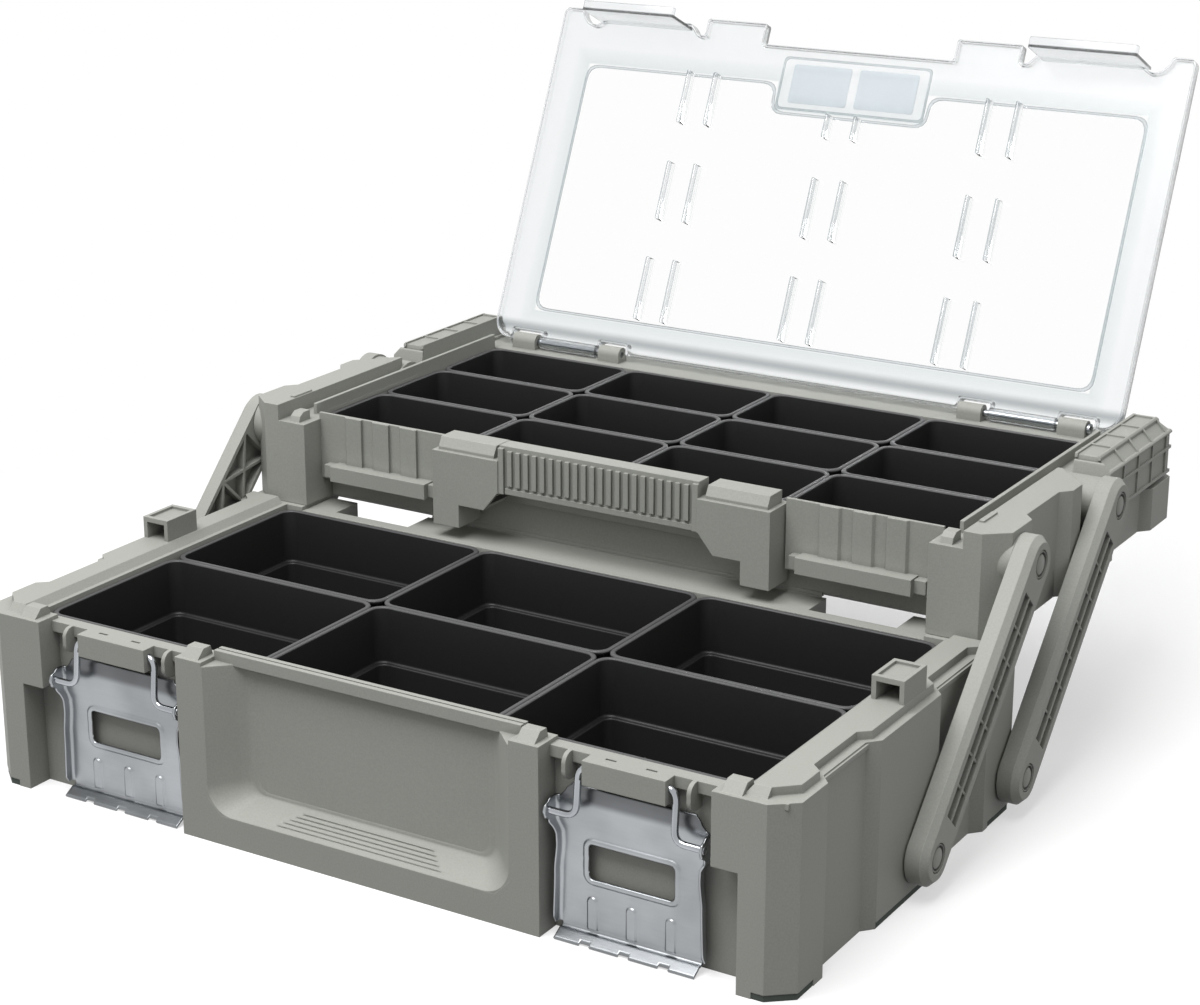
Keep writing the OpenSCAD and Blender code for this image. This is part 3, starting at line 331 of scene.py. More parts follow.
def plated(name, tint, streaks, roughness, dark_top_from=1.0):
    """Metal of a tint, with a range of roughness, streaks along one axis and slow clouds. Above
    the height dark_top_from its tone falls to the rolled top's, and along the lip at its foot it is
    darker too: both are painted reflection."""
    made, tree, place = start_material(name)
    along = add(tree, "Mapping", {"Vector": place, "Scale": streaks}).outputs[0]
    rolled = noise(tree, along, STREAK_SCALE, 4.0)
    worn = calc(tree, "MULTIPLY", rolled, noise(tree, place, BLUR_SCALE, 3.0))
    patches = spread(tree, noise(tree, place, PATCH_SCALE, 2.0), PATCH_BODY, PATCH_TONES)
    tone = calc(tree, "MULTIPLY", patches, spread(tree, rolled, target=STREAK_TONES))
    high_up = add(tree, "SeparateXYZ", {0: place}).outputs["Z"]
    # Painted reflection: the rolled top and the lip are darker.
    top_reflection = spread(tree, high_up, (dark_top_from, dark_top_from + TOP_REFLECTION_FADE), (1.0, TOP_REFLECTION_TONE), "SMOOTHSTEP")
    lip = spread(tree, high_up, LIP_HEIGHTS, (LIP_REFLECTION_TONE, 1.0), "SMOOTHSTEP")
    tone = calc(tree, "MULTIPLY", tone, calc(tree, "MULTIPLY", lip, top_reflection))
    surface(tree, {"Base Color": scaled(tree, colour(tint)[:3], tone),
                   "Metallic": 1.0,
                   "Roughness": spread(tree, worn, BLUR_BODY, roughness),
                   "Normal": bumped(tree, STREAK_BUMP, STREAK_HEIGHT, rolled)})
    return made


plate_steel = plated("plated_sheet", "9EA1A4", (1.0, 4.0, 8.0), (0.28, 0.32), dark_top_from=80 * MM)
wire_steel = plated("bright_wire", "A6A9AD", (3.0, 3.0, 3.0), (0.1, 0.15))
print("metals", plate_steel.name, wire_steel.name)

# %% [markdown]
# ## Finish of the clear lid
#
# The lid is one clear moulding. Its middle is polished, and the wide border round it has a fine
# frosting that blurs what lies behind. Both are glass to Blender: a Principled shader with full
# transmission, whose roughness rises outside the window. The lid stands open, so a Mapping node
# first turns the coordinates back to where it lies closed, and there the window is a rectangle
# less the labels' field. Edges of clear plastic look grey, as they gather light from the side, so
# the mask that finds sharp edges tints them. A greyer band round the window is painted shade of
# the window's step, and a grey band in front of the hinge is painted shade of the roll there.

# %% Clear plastic
hinge = joints["lid_hinge"]
HINGE_PLACE = np.array(hinge["pos_m"])
LID_TURN = np.radians(hinge["range_deg"][1])
WINDOW = ((0.0, -123.0 * MM), (225.0 * MM, 97.5 * MM))  # centre and half size, lid closed
LABELS = ((0.0, -220.0 * MM), (61.0 * MM, 21.5 * MM))
STEP_SHADE_BAND = 14 * MM  # how far outside the window its border is a little greyer: painted shade of the window's step
ROLL = (11 * MM, 7 * MM)  # middle and half width of the painted shade of the roll in front of the hinge
EDGE_RADIUS = 0.9 * MM
FROST = (0.16, 0.26)  # roughness of the border
FROST_SCALE = 30.0
POLISH = 0.02  # roughness of the window
INDEX = 1.45  # of refraction
WINDOW_TINT = "FDFDFD"
# Tint of the painted shade next to the window's step.
STEP_SHADE_TINT = "E4E9EA"
BORDER_TINT = "F3F5F6"
# Tint of the painted shade of the roll in front of the hinge.
ROLL_SHADE_TINT = "B4B9BB"
EDGE_TINT = "BFC6C9"


def closed_plane(tree, place):
    """Coordinates of the closed lid, across and back from the hinge."""
    shifted = add(tree, "VectorMath", {0: place, 1: tuple(HINGE_PLACE)}, operation="SUBTRACT")
    turn = {"Vector": shifted.outputs[0], "Rotation": (LID_TURN, 0.0, 0.0)}
    return add(tree, "SeparateXYZ", {0: add(tree, "Mapping", turn).outputs[0]}).outputs


def off_middle(tree, value, middle):
    """The distance of a value from a middle."""
    return calc(tree, "ABSOLUTE", calc(tree, "SUBTRACT", value, middle))


def past_edge(tree, flat, centre, half):
    """How far a point of the closed lid's plane lies outside a rectangle: the larger of how far
    it is past the half width and past the half depth."""
    past = [calc(tree, "SUBTRACT", off_middle(tree, flat[axis], centre[axis]), half[axis])
            for axis in (0, 1)]
    return calc(tree, "MAXIMUM", *past)


def outside_window(tree, place):
    """How far a point lies outside the window, less the labels' field that is cut from it."""
    flat = closed_plane(tree, place)
    cut = calc(tree, "MULTIPLY", past_edge(tree, flat, *LABELS), -1.0)
    return calc(tree, "MAXIMUM", past_edge(tree, flat, *WINDOW), cut)


def hinge_roll_shade(tree, place):
    """A mask for painted shade: 1 along the middle of the roll in front of the hinge, and 0 half
    its width to either side, by a smooth step of the distance from that middle."""
    forward = calc(tree, "MULTIPLY", closed_plane(tree, place)[1], -1.0)
    middle, half = ROLL
    return spread(tree, off_middle(tree, forward, middle), (0.0, half), (1.0, 0.0), "SMOOTHSTEP")


def clear_moulding(name):
    """Clear plastic that is polished in its window and frosted round it, with greyer edges, and
    with painted shade in a band round the window and along the roll by the hinge.
    """
    made, tree, place = start_material(name)
    apart = outside_window(tree, place)
    border = spread(tree, apart, (0.0, MM))
    frost = spread(tree, noise(tree, place, FROST_SCALE, 3.0), target=FROST)
    rough = calc(tree, "MAXIMUM", calc(tree, "MULTIPLY", border, frost), POLISH)
    # Painted shade: a greyer band round the window's step.
    step_shade = spread(tree, apart, (MM, STEP_SHADE_BAND))
    tint = blend(tree, step_shade, colour(STEP_SHADE_TINT), colour(BORDER_TINT))
    tint = blend(tree, border, colour(WINDOW_TINT), tint)
    # Painted shade of the roll in front of the hinge.
    tint = blend(tree, hinge_roll_shade(tree, place), tint, colour(ROLL_SHADE_TINT))
    tint = blend(tree, edge_light_and_wear(tree, EDGE_RADIUS)[1], tint, colour(EDGE_TINT))
    surface(tree, {"Base Color": tint, "Roughness": rough, "Transmission Weight": 1.0,
                   "IOR": INDEX})
    return made


clear_plastic = clear_moulding("clear_moulding")
print("lid turns", round(float(np.degrees(LID_TURN)), 1), "degrees about", HINGE_PLACE.round(4))

# %% [markdown]
# ## Finish of the label cards
#
# The cards are coated paper: nearly smooth, pale and cool, with faint fibres that lie every way.

# %% Label card
FIBRE_SCALE = 1400.0
FIBRE_TONES = (0.95, 1.04)
FIBRE_HEIGHT = 0.05 * MM


def card(name, tint):
    """Coated paper of a tint, with a fine fibre noise in its tone and bump."""
    made, tree, place = start_material(name)
    fibre = noise(tree, place, FIBRE_SCALE, 5.0, distortion=1.5)
    tone = spread(tree, fibre, target=FIBRE_TONES)
    surface(tree, {"Base Color": scaled(tree, colour(tint)[:3], tone), "Roughness": 0.55,
                   "Normal": bumped(tree, 0.1, FIBRE_HEIGHT, fibre)})
    return made


label_card = card("label_card", "DBE0E4")
print("card", label_card.name)

# %% [markdown]
# ## Dress the CAD nodes
#
# A CAD node keeps its mesh and gets a finish by what it is made of. The pieces that are rebuilt
# further down hide theirs.

# %% Give the CAD nodes their finishes
FINISHES = {
    "base_shell": grey_plastic, "tray_shell": grey_plastic, "rear_cap": grey_plastic,
    "carry_handle": grey_plastic, "arm_": grey_plastic, "base_pins": pin_plastic,
    "tray_pins": pin_plastic, "base_feet": foot_rubber, "large_bin": black_plastic,
    "small_bin": black_plastic, "hinge_rods": wire_steel, "bail_": wire_steel,
    "latch_plate": plate_steel, "lid_panel": clear_plastic, "lid_labels": label_card,
}

for node_name, node in frame["nodes"].items():
    start = next(k for k in FINISHES if node_name.startswith(k))
    node.data.materials.clear()
    node.data.materials.append(FINISHES[start])
print("dressed", len(frame["nodes"]), "nodes")

# %% [markdown]
# ## Surfaces from grids
#
# Each new piece is one or more grids of points. A grid is an array of rows and columns, and every
# small cell of it becomes a four-sided face. Where the rows close on themselves, as round a wire,
# the last column joins the first. The two end rows are closed by a flat face each, or joined to
# each other in a ring. The helper also makes sure that a closed form faces outwards: it adds up
# the volume under all its faces and turns them round if the sum is negative.

# %% Grid helper
def grid_faces(rows, columns, wrap):
    """Corner numbers of every cell: a point, the next in its column, and their right neighbours."""
    i = np.arange(rows - 1)[:, None]
    j = np.arange(columns if wrap else columns - 1)[None, :]
    k = (j + 1) % columns
    corners = (i * columns + j, (i + 1) * columns + j, (i + 1) * columns + k, i * columns + k)
    return np.stack([np.broadcast_to(c, np.broadcast(i, j).shape) for c in corners], -1)


def signed_volume(points, faces):
    """Sum of the volumes of the pyramids from the origin to each face's two triangles."""
    a, b, c, d = (points[faces[:, n]] for n in range(4))
    one = np.einsum("ij,ij->i", a, np.cross(b, c))
    two = np.einsum("ij,ij->i", a, np.cross(c, d))
    return (one.sum() + two.sum()) / 6


def closed_part(grid, ring=False):
    """Points and faces of a closed form from a grid whose columns wrap, with flat ends or with
    its ends joined in a ring."""
    rows, columns = grid.shape[:2]
    points = grid.reshape(-1, 3)
    numbers = np.arange(rows * columns).reshape(rows, columns)
    ends = [] if ring else [numbers[0], numbers[-1, ::-1]]
    if ring:
        numbers = np.concatenate([numbers, numbers[:1]])
    quads = numbers.ravel()[grid_faces(len(numbers), columns, True).reshape(-1, 4)]
    order = -1 if signed_volume(points - points.mean(0), quads) < 0 else 1
    return points, [face[::order].tolist() for face in [*quads, *ends]]


def piece(name, parts, finish, body, sharp=40.0):
    """One smooth-shaded object from a list of parts, riding on a body. Edges that turn by more
    than the sharp angle stay crisp."""
    offset, points, faces = 0, [], []
    for part_points, part_faces in parts:
        faces += [[n + offset for n in face] for face in part_faces]
        points.append(part_points)
        offset += len(part_points)
    mesh = bpy.data.meshes.new(name)
    mesh.from_pydata(np.concatenate(points).tolist(), [], faces)
    mesh.shade_smooth()
    mesh.set_sharp_from_angle(angle=np.radians(sharp))
    mesh.materials.append(finish)
    made = bpy.data.objects.new(name, mesh)
    bpy.context.scene.collection.objects.link(made)
    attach(made, body)
    return made


print("a 4 by 3 grid has", grid_faces(4, 3, False).reshape(-1, 4).shape[0], "cells")

# %% [markdown]
# ## The lift-out bins
#
# A bin is thin black plastic with a rolled rim, walls that lean in a little so that it leaves its
# mould, a step half-way down and a rounded floor edge. Seen from above, every level of it is a
# rounded rectangle, so the whole skin is one profile of inset and height carried round that
# rectangle: up the outside, over the rim and down the inside to the floor. The rims face the lamp
# overhead, so the faces of those few rows get a paler black of their own: painted light.

# %% Bin profile and loft
LARGE_STEP = 0.64  # height of the step as a share of the bin's height
SMALL_STEP = 0.44
RIM_RADIUS = 10.0
RIM_WIDTH = 3.0
RIM_ROWS = (13, 24)  # rows of the profile that go over the rim
STEP_INSET = 4.8
WALL = 1.8
CORNER_STEPS = 6


def bend(inset, height, radius, start, end, count=6):
    """Arc of a circle in the profile's plane, from one angle to another in degrees."""
    angle = np.radians(np.linspace(start, end, count))
    return np.stack([inset + radius * np.cos(angle), height + radius * np.sin(angle)], -1)


def bin_profile(tall, step):
    """Inset and height along the skin, in millimetres above the bin's foot."""
    foot = bend(STEP_INSET + 2.0, 2.0, 2.0, 270, 180)
    shoulder = np.array([[STEP_INSET, step - 1.0], [STEP_INSET - 0.4, step + 0.4],
                         [1.6, step + 1.2], [1.2, step + 2.6]])
    rim_under = np.array([[1.2, tall - 3.2], [0.4, tall - 3.0], [0.0, tall - 2.6]])
    rim_outer = bend(1.1, tall - 1.1, 1.1, 180, 90)
    rim_inner = bend(RIM_WIDTH - 0.9, tall - 0.9, 0.9, 90, 0)
    ledge = np.array([[RIM_WIDTH + 0.5, step + WALL + 2.2]])
    ledge_top = bend(RIM_WIDTH + 2.0, step + WALL + 1.5, 1.5, 180, 270)
    ledge_edge = bend(STEP_INSET + 1.2, step + WALL - 0.9, 0.9, 90, 0)
    floor_edge = bend(STEP_INSET + 7.4, WALL + 4.5, 4.5, 180, 270)
    return np.concatenate([foot, shoulder, rim_under, rim_outer, rim_inner, ledge, ledge_top,
                           ledge_edge, floor_edge])


def rounded_ring(half_x, half_y, radius):
    """Rounded rectangles, one row for each half width, half depth and corner radius: the corner's
    centre plus the radius times the cosine and sine of the angle."""
    quarter = np.linspace(0, 90, CORNER_STEPS)
    angle = np.radians(np.arange(4)[:, None] * 90 + quarter).ravel()
    side_x = np.repeat([1, -1, -1, 1], CORNER_STEPS)
    side_y = np.repeat([1, 1, -1, -1], CORNER_STEPS)
    x = side_x * (half_x - radius)[:, None] + radius[:, None] * np.cos(angle)
    y = side_y * (half_y - radius)[:, None] + radius[:, None] * np.sin(angle)
    return x, y


def bin_skin(low, high, step_share):
    """The closed skin of one bin between its lowest and highest corners."""
    tall = (high[2] - low[2]) / MM
    inset, height = bin_profile(tall, step_share * tall).T
    radius = np.maximum(RIM_RADIUS - 0.7 * inset, 2.5)
    half, centre = (high - low) / 2, (high + low) / 2
    x, y = rounded_ring(half[0] - inset * MM, half[1] - inset * MM, radius * MM)
    z = np.broadcast_to((low[2] + height * MM)[:, None], x.shape)
    return closed_part(np.stack([centre[0] + x, centre[1] + y, z], -1))


for node_name in sorted(frame["nodes"]):
    if "_bin_" in node_name:
        large = node_name.startswith("large")
        low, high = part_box(node_name)
        skin = bin_skin(np.array(low), np.array(high), LARGE_STEP if large else SMALL_STEP)
        made = piece(node_name + "_skin", [skin], black_plastic, "base" if large else "tray",
                     sharp=50.0)
        # The rim's rows get the paler black: painted light where the rims face the lamp.
        made.data.materials.append(lit_rim_plastic)
        row = np.arange(len(made.data.polygons)) // (4 * CORNER_STEPS)
        lit_rim_faces = (row >= RIM_ROWS[0]) & (row < RIM_ROWS[1])
        made.data.polygons.foreach_set("material_index", lit_rim_faces.astype(np.int32))
        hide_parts(node_name)
print("bins", sum("_bin_" in n for n in frame["nodes"]), "with", len(skin[1]), "faces each")

# %% [markdown]
# ## Pivot pins, drip lip and rim bead
#
# Each pivot pin is turned: a root in the shell, a shaft through the arm and a head that is sunk in
# the arm, with a ring groove where its snap ring closes. The tray's underside has a short lip that
# comes down just behind the base's rear rim while the box stands open, and a low bead on that rim
# stands up to meet it, so that nothing can be seen or dropped between the two.

# %% Pins and lip
WALL_OUT = 283.5  # half width over the side walls
PIN_ROOTS = {"base": (12.5, 12.5), "tray": (12.5, 20.0)}  # front and rear, into the shell
PIN_RADIUS = 5.45
PIN_FACE = 297.7
PIN_PROFILE = [(284.7, PIN_RADIUS), (284.8, 6.9), (295.3, 6.9), (295.5, 8.5), (297.3, 8.5),
               (PIN_FACE, 8.1), (PIN_FACE, 7.7), (PIN_FACE - 2.0, 7.6), (PIN_FACE - 2.0, 6.3),
               (PIN_FACE - 0.5, 6.2), (PIN_FACE - 0.1, 5.6), (PIN_FACE, 0.3)]
PIN_SIDES = 48
LIP_HALF = 150.0
LIP_SECTION = [(297.3, 112.9), (299.7, 112.9), (299.7, 113.2), (297.3, 115.7)]
BEAD_SECTION = [(296.0, 112.3), (297.0, 112.3), (297.0, 113.05), (296.6, 113.05)]


def spun(profile, sides):
    """Circles round the x axis from a profile of distance along it and radius."""
    profile = np.array(profile, float)
    angle = np.linspace(0, 2 * np.pi, sides, endpoint=False)
    x = np.broadcast_to(profile[:, :1], (len(profile), sides))
    return np.stack([x, profile[:, 1:] * np.cos(angle), profile[:, 1:] * np.sin(angle)], -1)


def turned(profile, centre, sides):
    """A form turned about the line along x through the centre."""
    return closed_part((spun(profile, sides) + centre) * MM)


def pin(side, place, root):
    """One pin with its root that deep in the shell, pointing out on that side."""
    profile = np.array([(WALL_OUT - root, PIN_RADIUS)] + PIN_PROFILE) * [side, 1.0]
    return turned(profile, np.array([0.0, place[1], place[2]]) / MM, PIN_SIDES)


low_pins = [np.array(joints[f"arm_right_{end}_pivot"]["pos_m"]) for end in ("front", "rear")]
high_pins = [np.array(joints["tray_pivot"]["pos_m"]) + low - low_pins[0] for low in low_pins]
for name, places in (("base", low_pins), ("tray", high_pins)):
    parts = [pin(side, *pair) for side in (-1, 1) for pair in zip(places, PIN_ROOTS[name])]
    made = piece(f"{name}_pivot_pins", parts, pin_plastic, name, sharp=35.0)
    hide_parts(f"{name}_pins")
for name, section, body in (("tray_drip_lip", LIP_SECTION, "tray"),
                            ("rear_rim_bead", BEAD_SECTION, "base")):
    bar = np.array([[[x, y, z] for y, z in section] for x in (-LIP_HALF, LIP_HALF)]) * MM
    piece(name, [closed_part(bar)], grey_plastic, body)
print("pins at heights", [round(float(p[2] / MM), 1) for p in low_pins + high_pins], "mm")

# %% [markdown]
# ## The face of the front recess
#
# The recess in the base's centre panel has rounded lower corners and a soft fillet where its walls
# meet its back. Both are one thin closed skin laid over the recess. Seen from the front, every
# depth of it is a U of two sides, two corner arcs and a floor, and a share runs from 0 at the
# front edge to 1 at the back's edge. A row of the grid is one place along the U, a column is one
# step of the skin's section, and five shallow grooves are pressed into the floor.

# %% Recess skin
RECESS_DEEP = 18.5
RECESS_TOP = 112.4
RECESS_FLOOR = 19.0
FLOOR_RISE = 10.0
FLOOR_LONG = np.hypot(RECESS_DEEP, FLOOR_RISE)  # from front to back, along its slope
SIDE_DEPTHS = [0.0, 14.5, RECESS_DEEP]
SIDE_HALVES = [108.0, 93.0, 88.0]
BEYOND_NARROWING = 20.0  # how fast the half width shrinks per share, beyond either edge
FRONT_RADIUS = 18.0
RADIUS_LOSS = 8.0
FILLET_SHARE = 0.1
SKIN_SHARES = (-0.2, 1.3)  # where the skin begins and ends
SKIN_GAP = 0.2
SKIN_THICK = 1.2
SKIN_SINK = 0.35  # how far the skin's last edge sinks into the back
FLUSH = 0.03
GROOVE_STARTS = 3.6 + 3.0 * np.arange(5)  # distance up the sloped floor
GROOVE_ENDS = 60.0 - 3.0 * np.arange(5)
GROOVE_WIDE = 1.2
GROOVE_WALL = 0.3  # width of a groove's sloped wall, as a share of the groove's
GROOVE_PRESS = 0.5


def skin_depth(share):
    """Depth is the recess's depth times the share, eased to a constant by a parabola over the
    fillet's share on both sides of 1, less the gap, and never in front of the flush plane."""
    past = np.clip(share - (1 - FILLET_SHARE), 0, 2 * FILLET_SHARE)
    eased_share = np.minimum(share, 1 + FILLET_SHARE) - past ** 2 / (4 * FILLET_SHARE)
    return np.maximum(RECESS_DEEP * eased_share - SKIN_GAP, FLUSH)


def recess_u(share):
    """Places along the right half of the U at each share, from the middle of the floor round the
    corner arc and up the side. The half width, the floor's height and the arc's radius all
    change with the share."""
    half = np.interp(RECESS_DEEP * share, SIDE_DEPTHS, SIDE_HALVES)
    half = half - BEYOND_NARROWING * (share - np.clip(share, 0, 1))
    low = RECESS_FLOOR + FLOOR_RISE * share
    radius = FRONT_RADIUS - RADIUS_LOSS * share
    plain = [0, 12, 24, 36, 44, 66]
    flat = np.unique(np.concatenate([plain, GROOVE_ENDS, GROOVE_ENDS - 1]))[:, None]
    turn = np.linspace(-90, 0, 13)[:, None] * np.pi / 180
    rise = np.linspace(0, 1, 7)[1:, None]
    x = [flat + 0 * half, half - radius + radius * np.cos(turn), half + 0 * rise]
    z = [low + 0 * flat, low + radius + radius * np.sin(turn),
         low + radius + (RECESS_TOP - low - radius) * rise]
    return np.concatenate(x), np.concatenate(z)


def pressed_floor(x, share):
    """How far the floor is pressed in: the grooves' depth inside each groove's width along the
    slope, with sloped walls, falling to nothing in the last millimetre of its length."""
    along = share * FLOOR_LONG
    total = 0 * (x + along)
    for start, end in zip(GROOVE_STARTS, GROOVE_ENDS):
        into = np.minimum(along - start, start + GROOVE_WIDE - along) / (GROOVE_WALL * GROOVE_WIDE)
        total = total + GROOVE_PRESS * np.clip(into, 0, 1) * np.clip(end - np.abs(x), 0, 1)
    return total


def recess_skin():
    """Grid of the whole skin. Its columns go in over the face and come back behind it, and the
    grooves press the face's floor square to its slope."""
    begin, end = SKIN_SHARES
    steps = np.array([0, GROOVE_WALL, 1 - GROOVE_WALL, 1])
    grooves = (GROOVE_STARTS[:, None] + GROOVE_WIDE * steps) / FLOOR_LONG
    face = np.concatenate([[begin, (SKIN_GAP + FLUSH) / RECESS_DEEP, 0.08], grooves.ravel(),
                           np.linspace(1 - FILLET_SHARE, 1 + FILLET_SHARE, 7), [1.24, end]])
    share = np.concatenate([face, [end, 1, 0.8, 0, begin]])
    depth = skin_depth(share)
    depth[len(face) - 1] += SKIN_SINK
    depth[len(face):] += SKIN_THICK
    x, z = recess_u(share)
    on_floor = z - (RECESS_FLOOR + FLOOR_RISE * share) < 0.01
    press = pressed_floor(x, share) * (np.arange(len(share)) < len(face)) * on_floor
    slope = np.array([FLOOR_RISE, RECESS_DEEP]) / FLOOR_LONG
    right = np.stack([x, depth + press * slope[0], z - press * slope[1]], -1)
    return np.concatenate([right[:0:-1] * [-1, 1, 1], right]) * MM


skin = recess_skin()
piece("recess_skin", [closed_part(skin)], grey_plastic, "base", sharp=38.0)
print("recess skin has", skin.shape[0] * skin.shape[1], "points")

# %% [markdown]
# ## The wire bails
#
# Each latch hangs from one piece of plated wire. It runs through the block on the base, bends
# down on both sides and bends out again through the plate's ears, where its ends are riveted over.
# All of it lies in one plane, so a round section can be carried along it without twisting: the
# plane's normal is one axis of every section, and its cross product with the wire's direction is
# the other.

# %% Path with rounded corners
BAIL_PIVOT = np.array([0.0, 7.0, 107.0])
EAR_PIVOT = np.array([0.0, 4.0, 77.5])
BAIL_LEG = 30.8  # half distance between the legs
EAR_HALF = 48.5  # half width over the ears
WIRE_RADIUS = 2.1
WIRE_SIDES = 20
WIRE_BEND = 7.5
WIRE_PAST = 0.8  # how far the wire runs past an ear, inside its rivet head
RIVET = EAR_HALF + np.array([0.2, 0.9, 1.5, 1.8, 1.8])  # distance along the head's axis
RIVET_RADII = np.array([2.2, 2.7, 2.4, 1.2, 0.2])
RIVET_SIDES = 24
latch_x = joints["bail_right_pivot"]["pos_m"][0] / MM


def curve(start, handle, end, steps):
    """Quadratic curves: (1 - t)^2 times the start, 2t(1 - t) times the handle and t^2 times the
    end, for t from 0 to 1."""
    t = np.linspace(0, 1, steps)[:, None]
    return (1 - t) ** 2 * start + 2 * t * (1 - t) * handle + t ** 2 * end


def rounded_path(corners, radius):
    """Straight runs joined by curves: near each corner the path is the curve from a point one
    radius before it to a point one radius after it, with the corner as its handle."""
    corners = np.array(corners, float)
    runs = [corners[:1]]
    for before, at, after in zip(corners[:-2], corners[1:-1], corners[2:]):
        a = at + radius * (before - at) / np.linalg.norm(before - at)
        b = at + radius * (after - at) / np.linalg.norm(after - at)
        runs.append(curve(a, at, b, 7))
    return np.concatenate(runs + [corners[-1:]])


def wire(path, normal):
    """Circles of the wire's radius round each point of a flat path: the centre, plus the radius
    times the cosine along the plane's normal and the sine along the normal crossed with the
    path."""
    along = np.gradient(path, axis=0)
    along /= np.linalg.norm(along, axis=1, keepdims=True)
    side = np.cross(normal, along)
    angle = np.linspace(0, 2 * np.pi, WIRE_SIDES, endpoint=False)
    ring = (np.cos(angle)[None, :, None] * normal
            + np.sin(angle)[None, :, None] * side[:, None, :])
    return closed_part((path[:, None, :] + WIRE_RADIUS * ring) * MM)


def bail(side):
    """The wire with its rivet heads, at the latch on that side."""
    place = np.array([side * latch_x, 0.0, 0.0])
    across = np.array([1.0, 0.0, 0.0])
    out = across * (EAR_HALF + WIRE_PAST)
    leg = across * BAIL_LEG
    path = rounded_path([EAR_PIVOT - out, EAR_PIVOT - leg, BAIL_PIVOT - leg, BAIL_PIVOT + leg,
                         EAR_PIVOT + leg, EAR_PIVOT + out], WIRE_BEND)
    normal = np.cross(across, BAIL_PIVOT - EAR_PIVOT)
    normal /= np.linalg.norm(normal)
    heads = [turned(np.stack([end * RIVET, RIVET_RADII], -1), EAR_PIVOT + place, RIVET_SIDES)
             for end in (1, -1)]
    return [wire(path + place, normal)] + heads


for side, name in ((-1, "left"), (1, "right")):
    made = piece(f"bail_{name}_wire", bail(side), wire_steel, f"bail_{name}")
    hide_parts(f"bail_{name}")
print("bails hang at x =", [-latch_x, latch_x], "mm")

# %% [markdown]
# ## The pressed latch plates
#
# A latch plate is stamped from sheet: waisted sides with flanges bent forward and flared into
# ears, a top edge rolled back, a toothed lip bent forward and down at the foot, a window with a
# bead round it, and three stiffening ribs. The front skin is one grid. Its rows follow the sheet
# from the lip over the lower bend, up the face and round the rolled top; its columns cross the
# face and turn the corner into the flanges. The pressed forms push the face forward by a smooth
# height. Cells in the window and between the teeth are left out, after the points near the
# window's edge have been moved on to it, and Solidify gives the sheet its thickness.

# %% Plate outline and pressed forms
SHEET = 1.2
PLATE_Y = 12.0
PLATE_LOW = 3.2
PLATE_HIGH = 92.0
FOOT_HALF = 47.0
FACE_RUN = (PLATE_LOW + 4.4, 84.1)  # heights of the face's rows
PRESS_NONE = PLATE_LOW + 2.0  # the pressed forms fade out below, between these two heights
PRESS_FULL = PLATE_LOW + 4.0
TOP_START = 84.5
TOP_BACK = 15.4 - SHEET
LIP_Y = 2.0
LIP_ROOT = 8.0
LIP_SLOPE = 30  # degrees
LOW_BEND = 2.0  # radius of the bend between lip and face
LOW_BEND_UP = 3.8
SIDE_BEND = 2.2
ROW_STEP = 0.6
TOOTH_PITCH = 25.2
TOOTH_WIDTH = 18.4
TOOTH_DEEP = 2.0
OPENING = np.array([27.0, 10.2])  # half width and half height
OPENING_Z = 48.5
OPENING_CORNER = 2.5
SNAP = 0.32  # points of the grid nearer to the window's edge than this are moved on to it
BEAD = 1.9  # half width of the bead round the window
BEAD_RISE = 1.3
RIB_PLACES = np.array([-25.0, 0.0, 25.0])
RIB_TOP = 24.0
RIB_HALF = 3.6
RIB_RISE = 1.5
HALF_AT = np.array([[3.2, FOOT_HALF], [40.0, 46.0], [57.0, 44.6], [62.0, 44.8],
                    [70.5, EAR_HALF], [83.0, EAR_HALF], [88.5, 44.8], [92.0, 41.5]])
FLANGE_AT = np.array([[7.6, 3.5], [12.0, 5.5], [66.0, 5.5], [71.0, 7.6], [74.0, 11.2],
                      [77.5, 12.3], [80.5, 11.4], [83.0, 7.0], [85.0, 2.6]])


def eased(at, table):
    """Values of a table of places and values, joined by the smooth step 3t^2 - 2t^3."""
    n = np.clip(np.searchsorted(table[:, 0], at) - 1, 0, len(table) - 2)
    t = np.clip((at - table[n, 0]) / (table[n + 1, 0] - table[n, 0]), 0, 1)
    return table[n, 1] + (table[n + 1, 1] - table[n, 1]) * t * t * (3 - 2 * t)


def falling(distance, start, end):
    """1 up to the start distance and 0 past the end, by a smooth step between them."""
    t = np.clip((distance - start) / (end - start), 0, 1)
    return 1 - t * t * (3 - 2 * t)


def from_opening(x, z):
    """Distance outside the window's rounded rectangle, negative inside, and its direction."""
    px = np.abs(x) - OPENING[0] + OPENING_CORNER
    pz = np.abs(z - OPENING_Z) - OPENING[1] + OPENING_CORNER
    qx, qz = np.maximum(px, 0), np.maximum(pz, 0)
    outer = np.hypot(qx, qz)
    distance = outer + np.minimum(np.maximum(px, pz), 0) - OPENING_CORNER
    past = outer > 1e-9
    gx = np.where(past, qx / np.where(past, outer, 1), (px > pz) * 1.0)
    gz = np.where(past, qz / np.where(past, outer, 1), (px <= pz) * 1.0)
    return distance, gx * np.sign(x), gz * np.sign(z - OPENING_Z)


def pressed(x, z):
    """How far the face stands forward: a half-round bead round the window, whose height is the
    root of one less the square of the distance from its middle, and ribs with round tops."""
    off_bead = (from_opening(x, z)[0] - BEAD) / BEAD
    bead = BEAD_RISE * np.sqrt(np.clip(1 - off_bead ** 2, 0, 1))
    nearest = np.min(np.abs(x[..., None] - RIB_PLACES), -1)
    from_rib = np.hypot(nearest, np.maximum(z - RIB_TOP, 0))
    return bead + RIB_RISE * falling(from_rib, RIB_HALF - 1.2, RIB_HALF)


print("half width at the waist", eased(np.array([58.0]), HALF_AT).round(2))

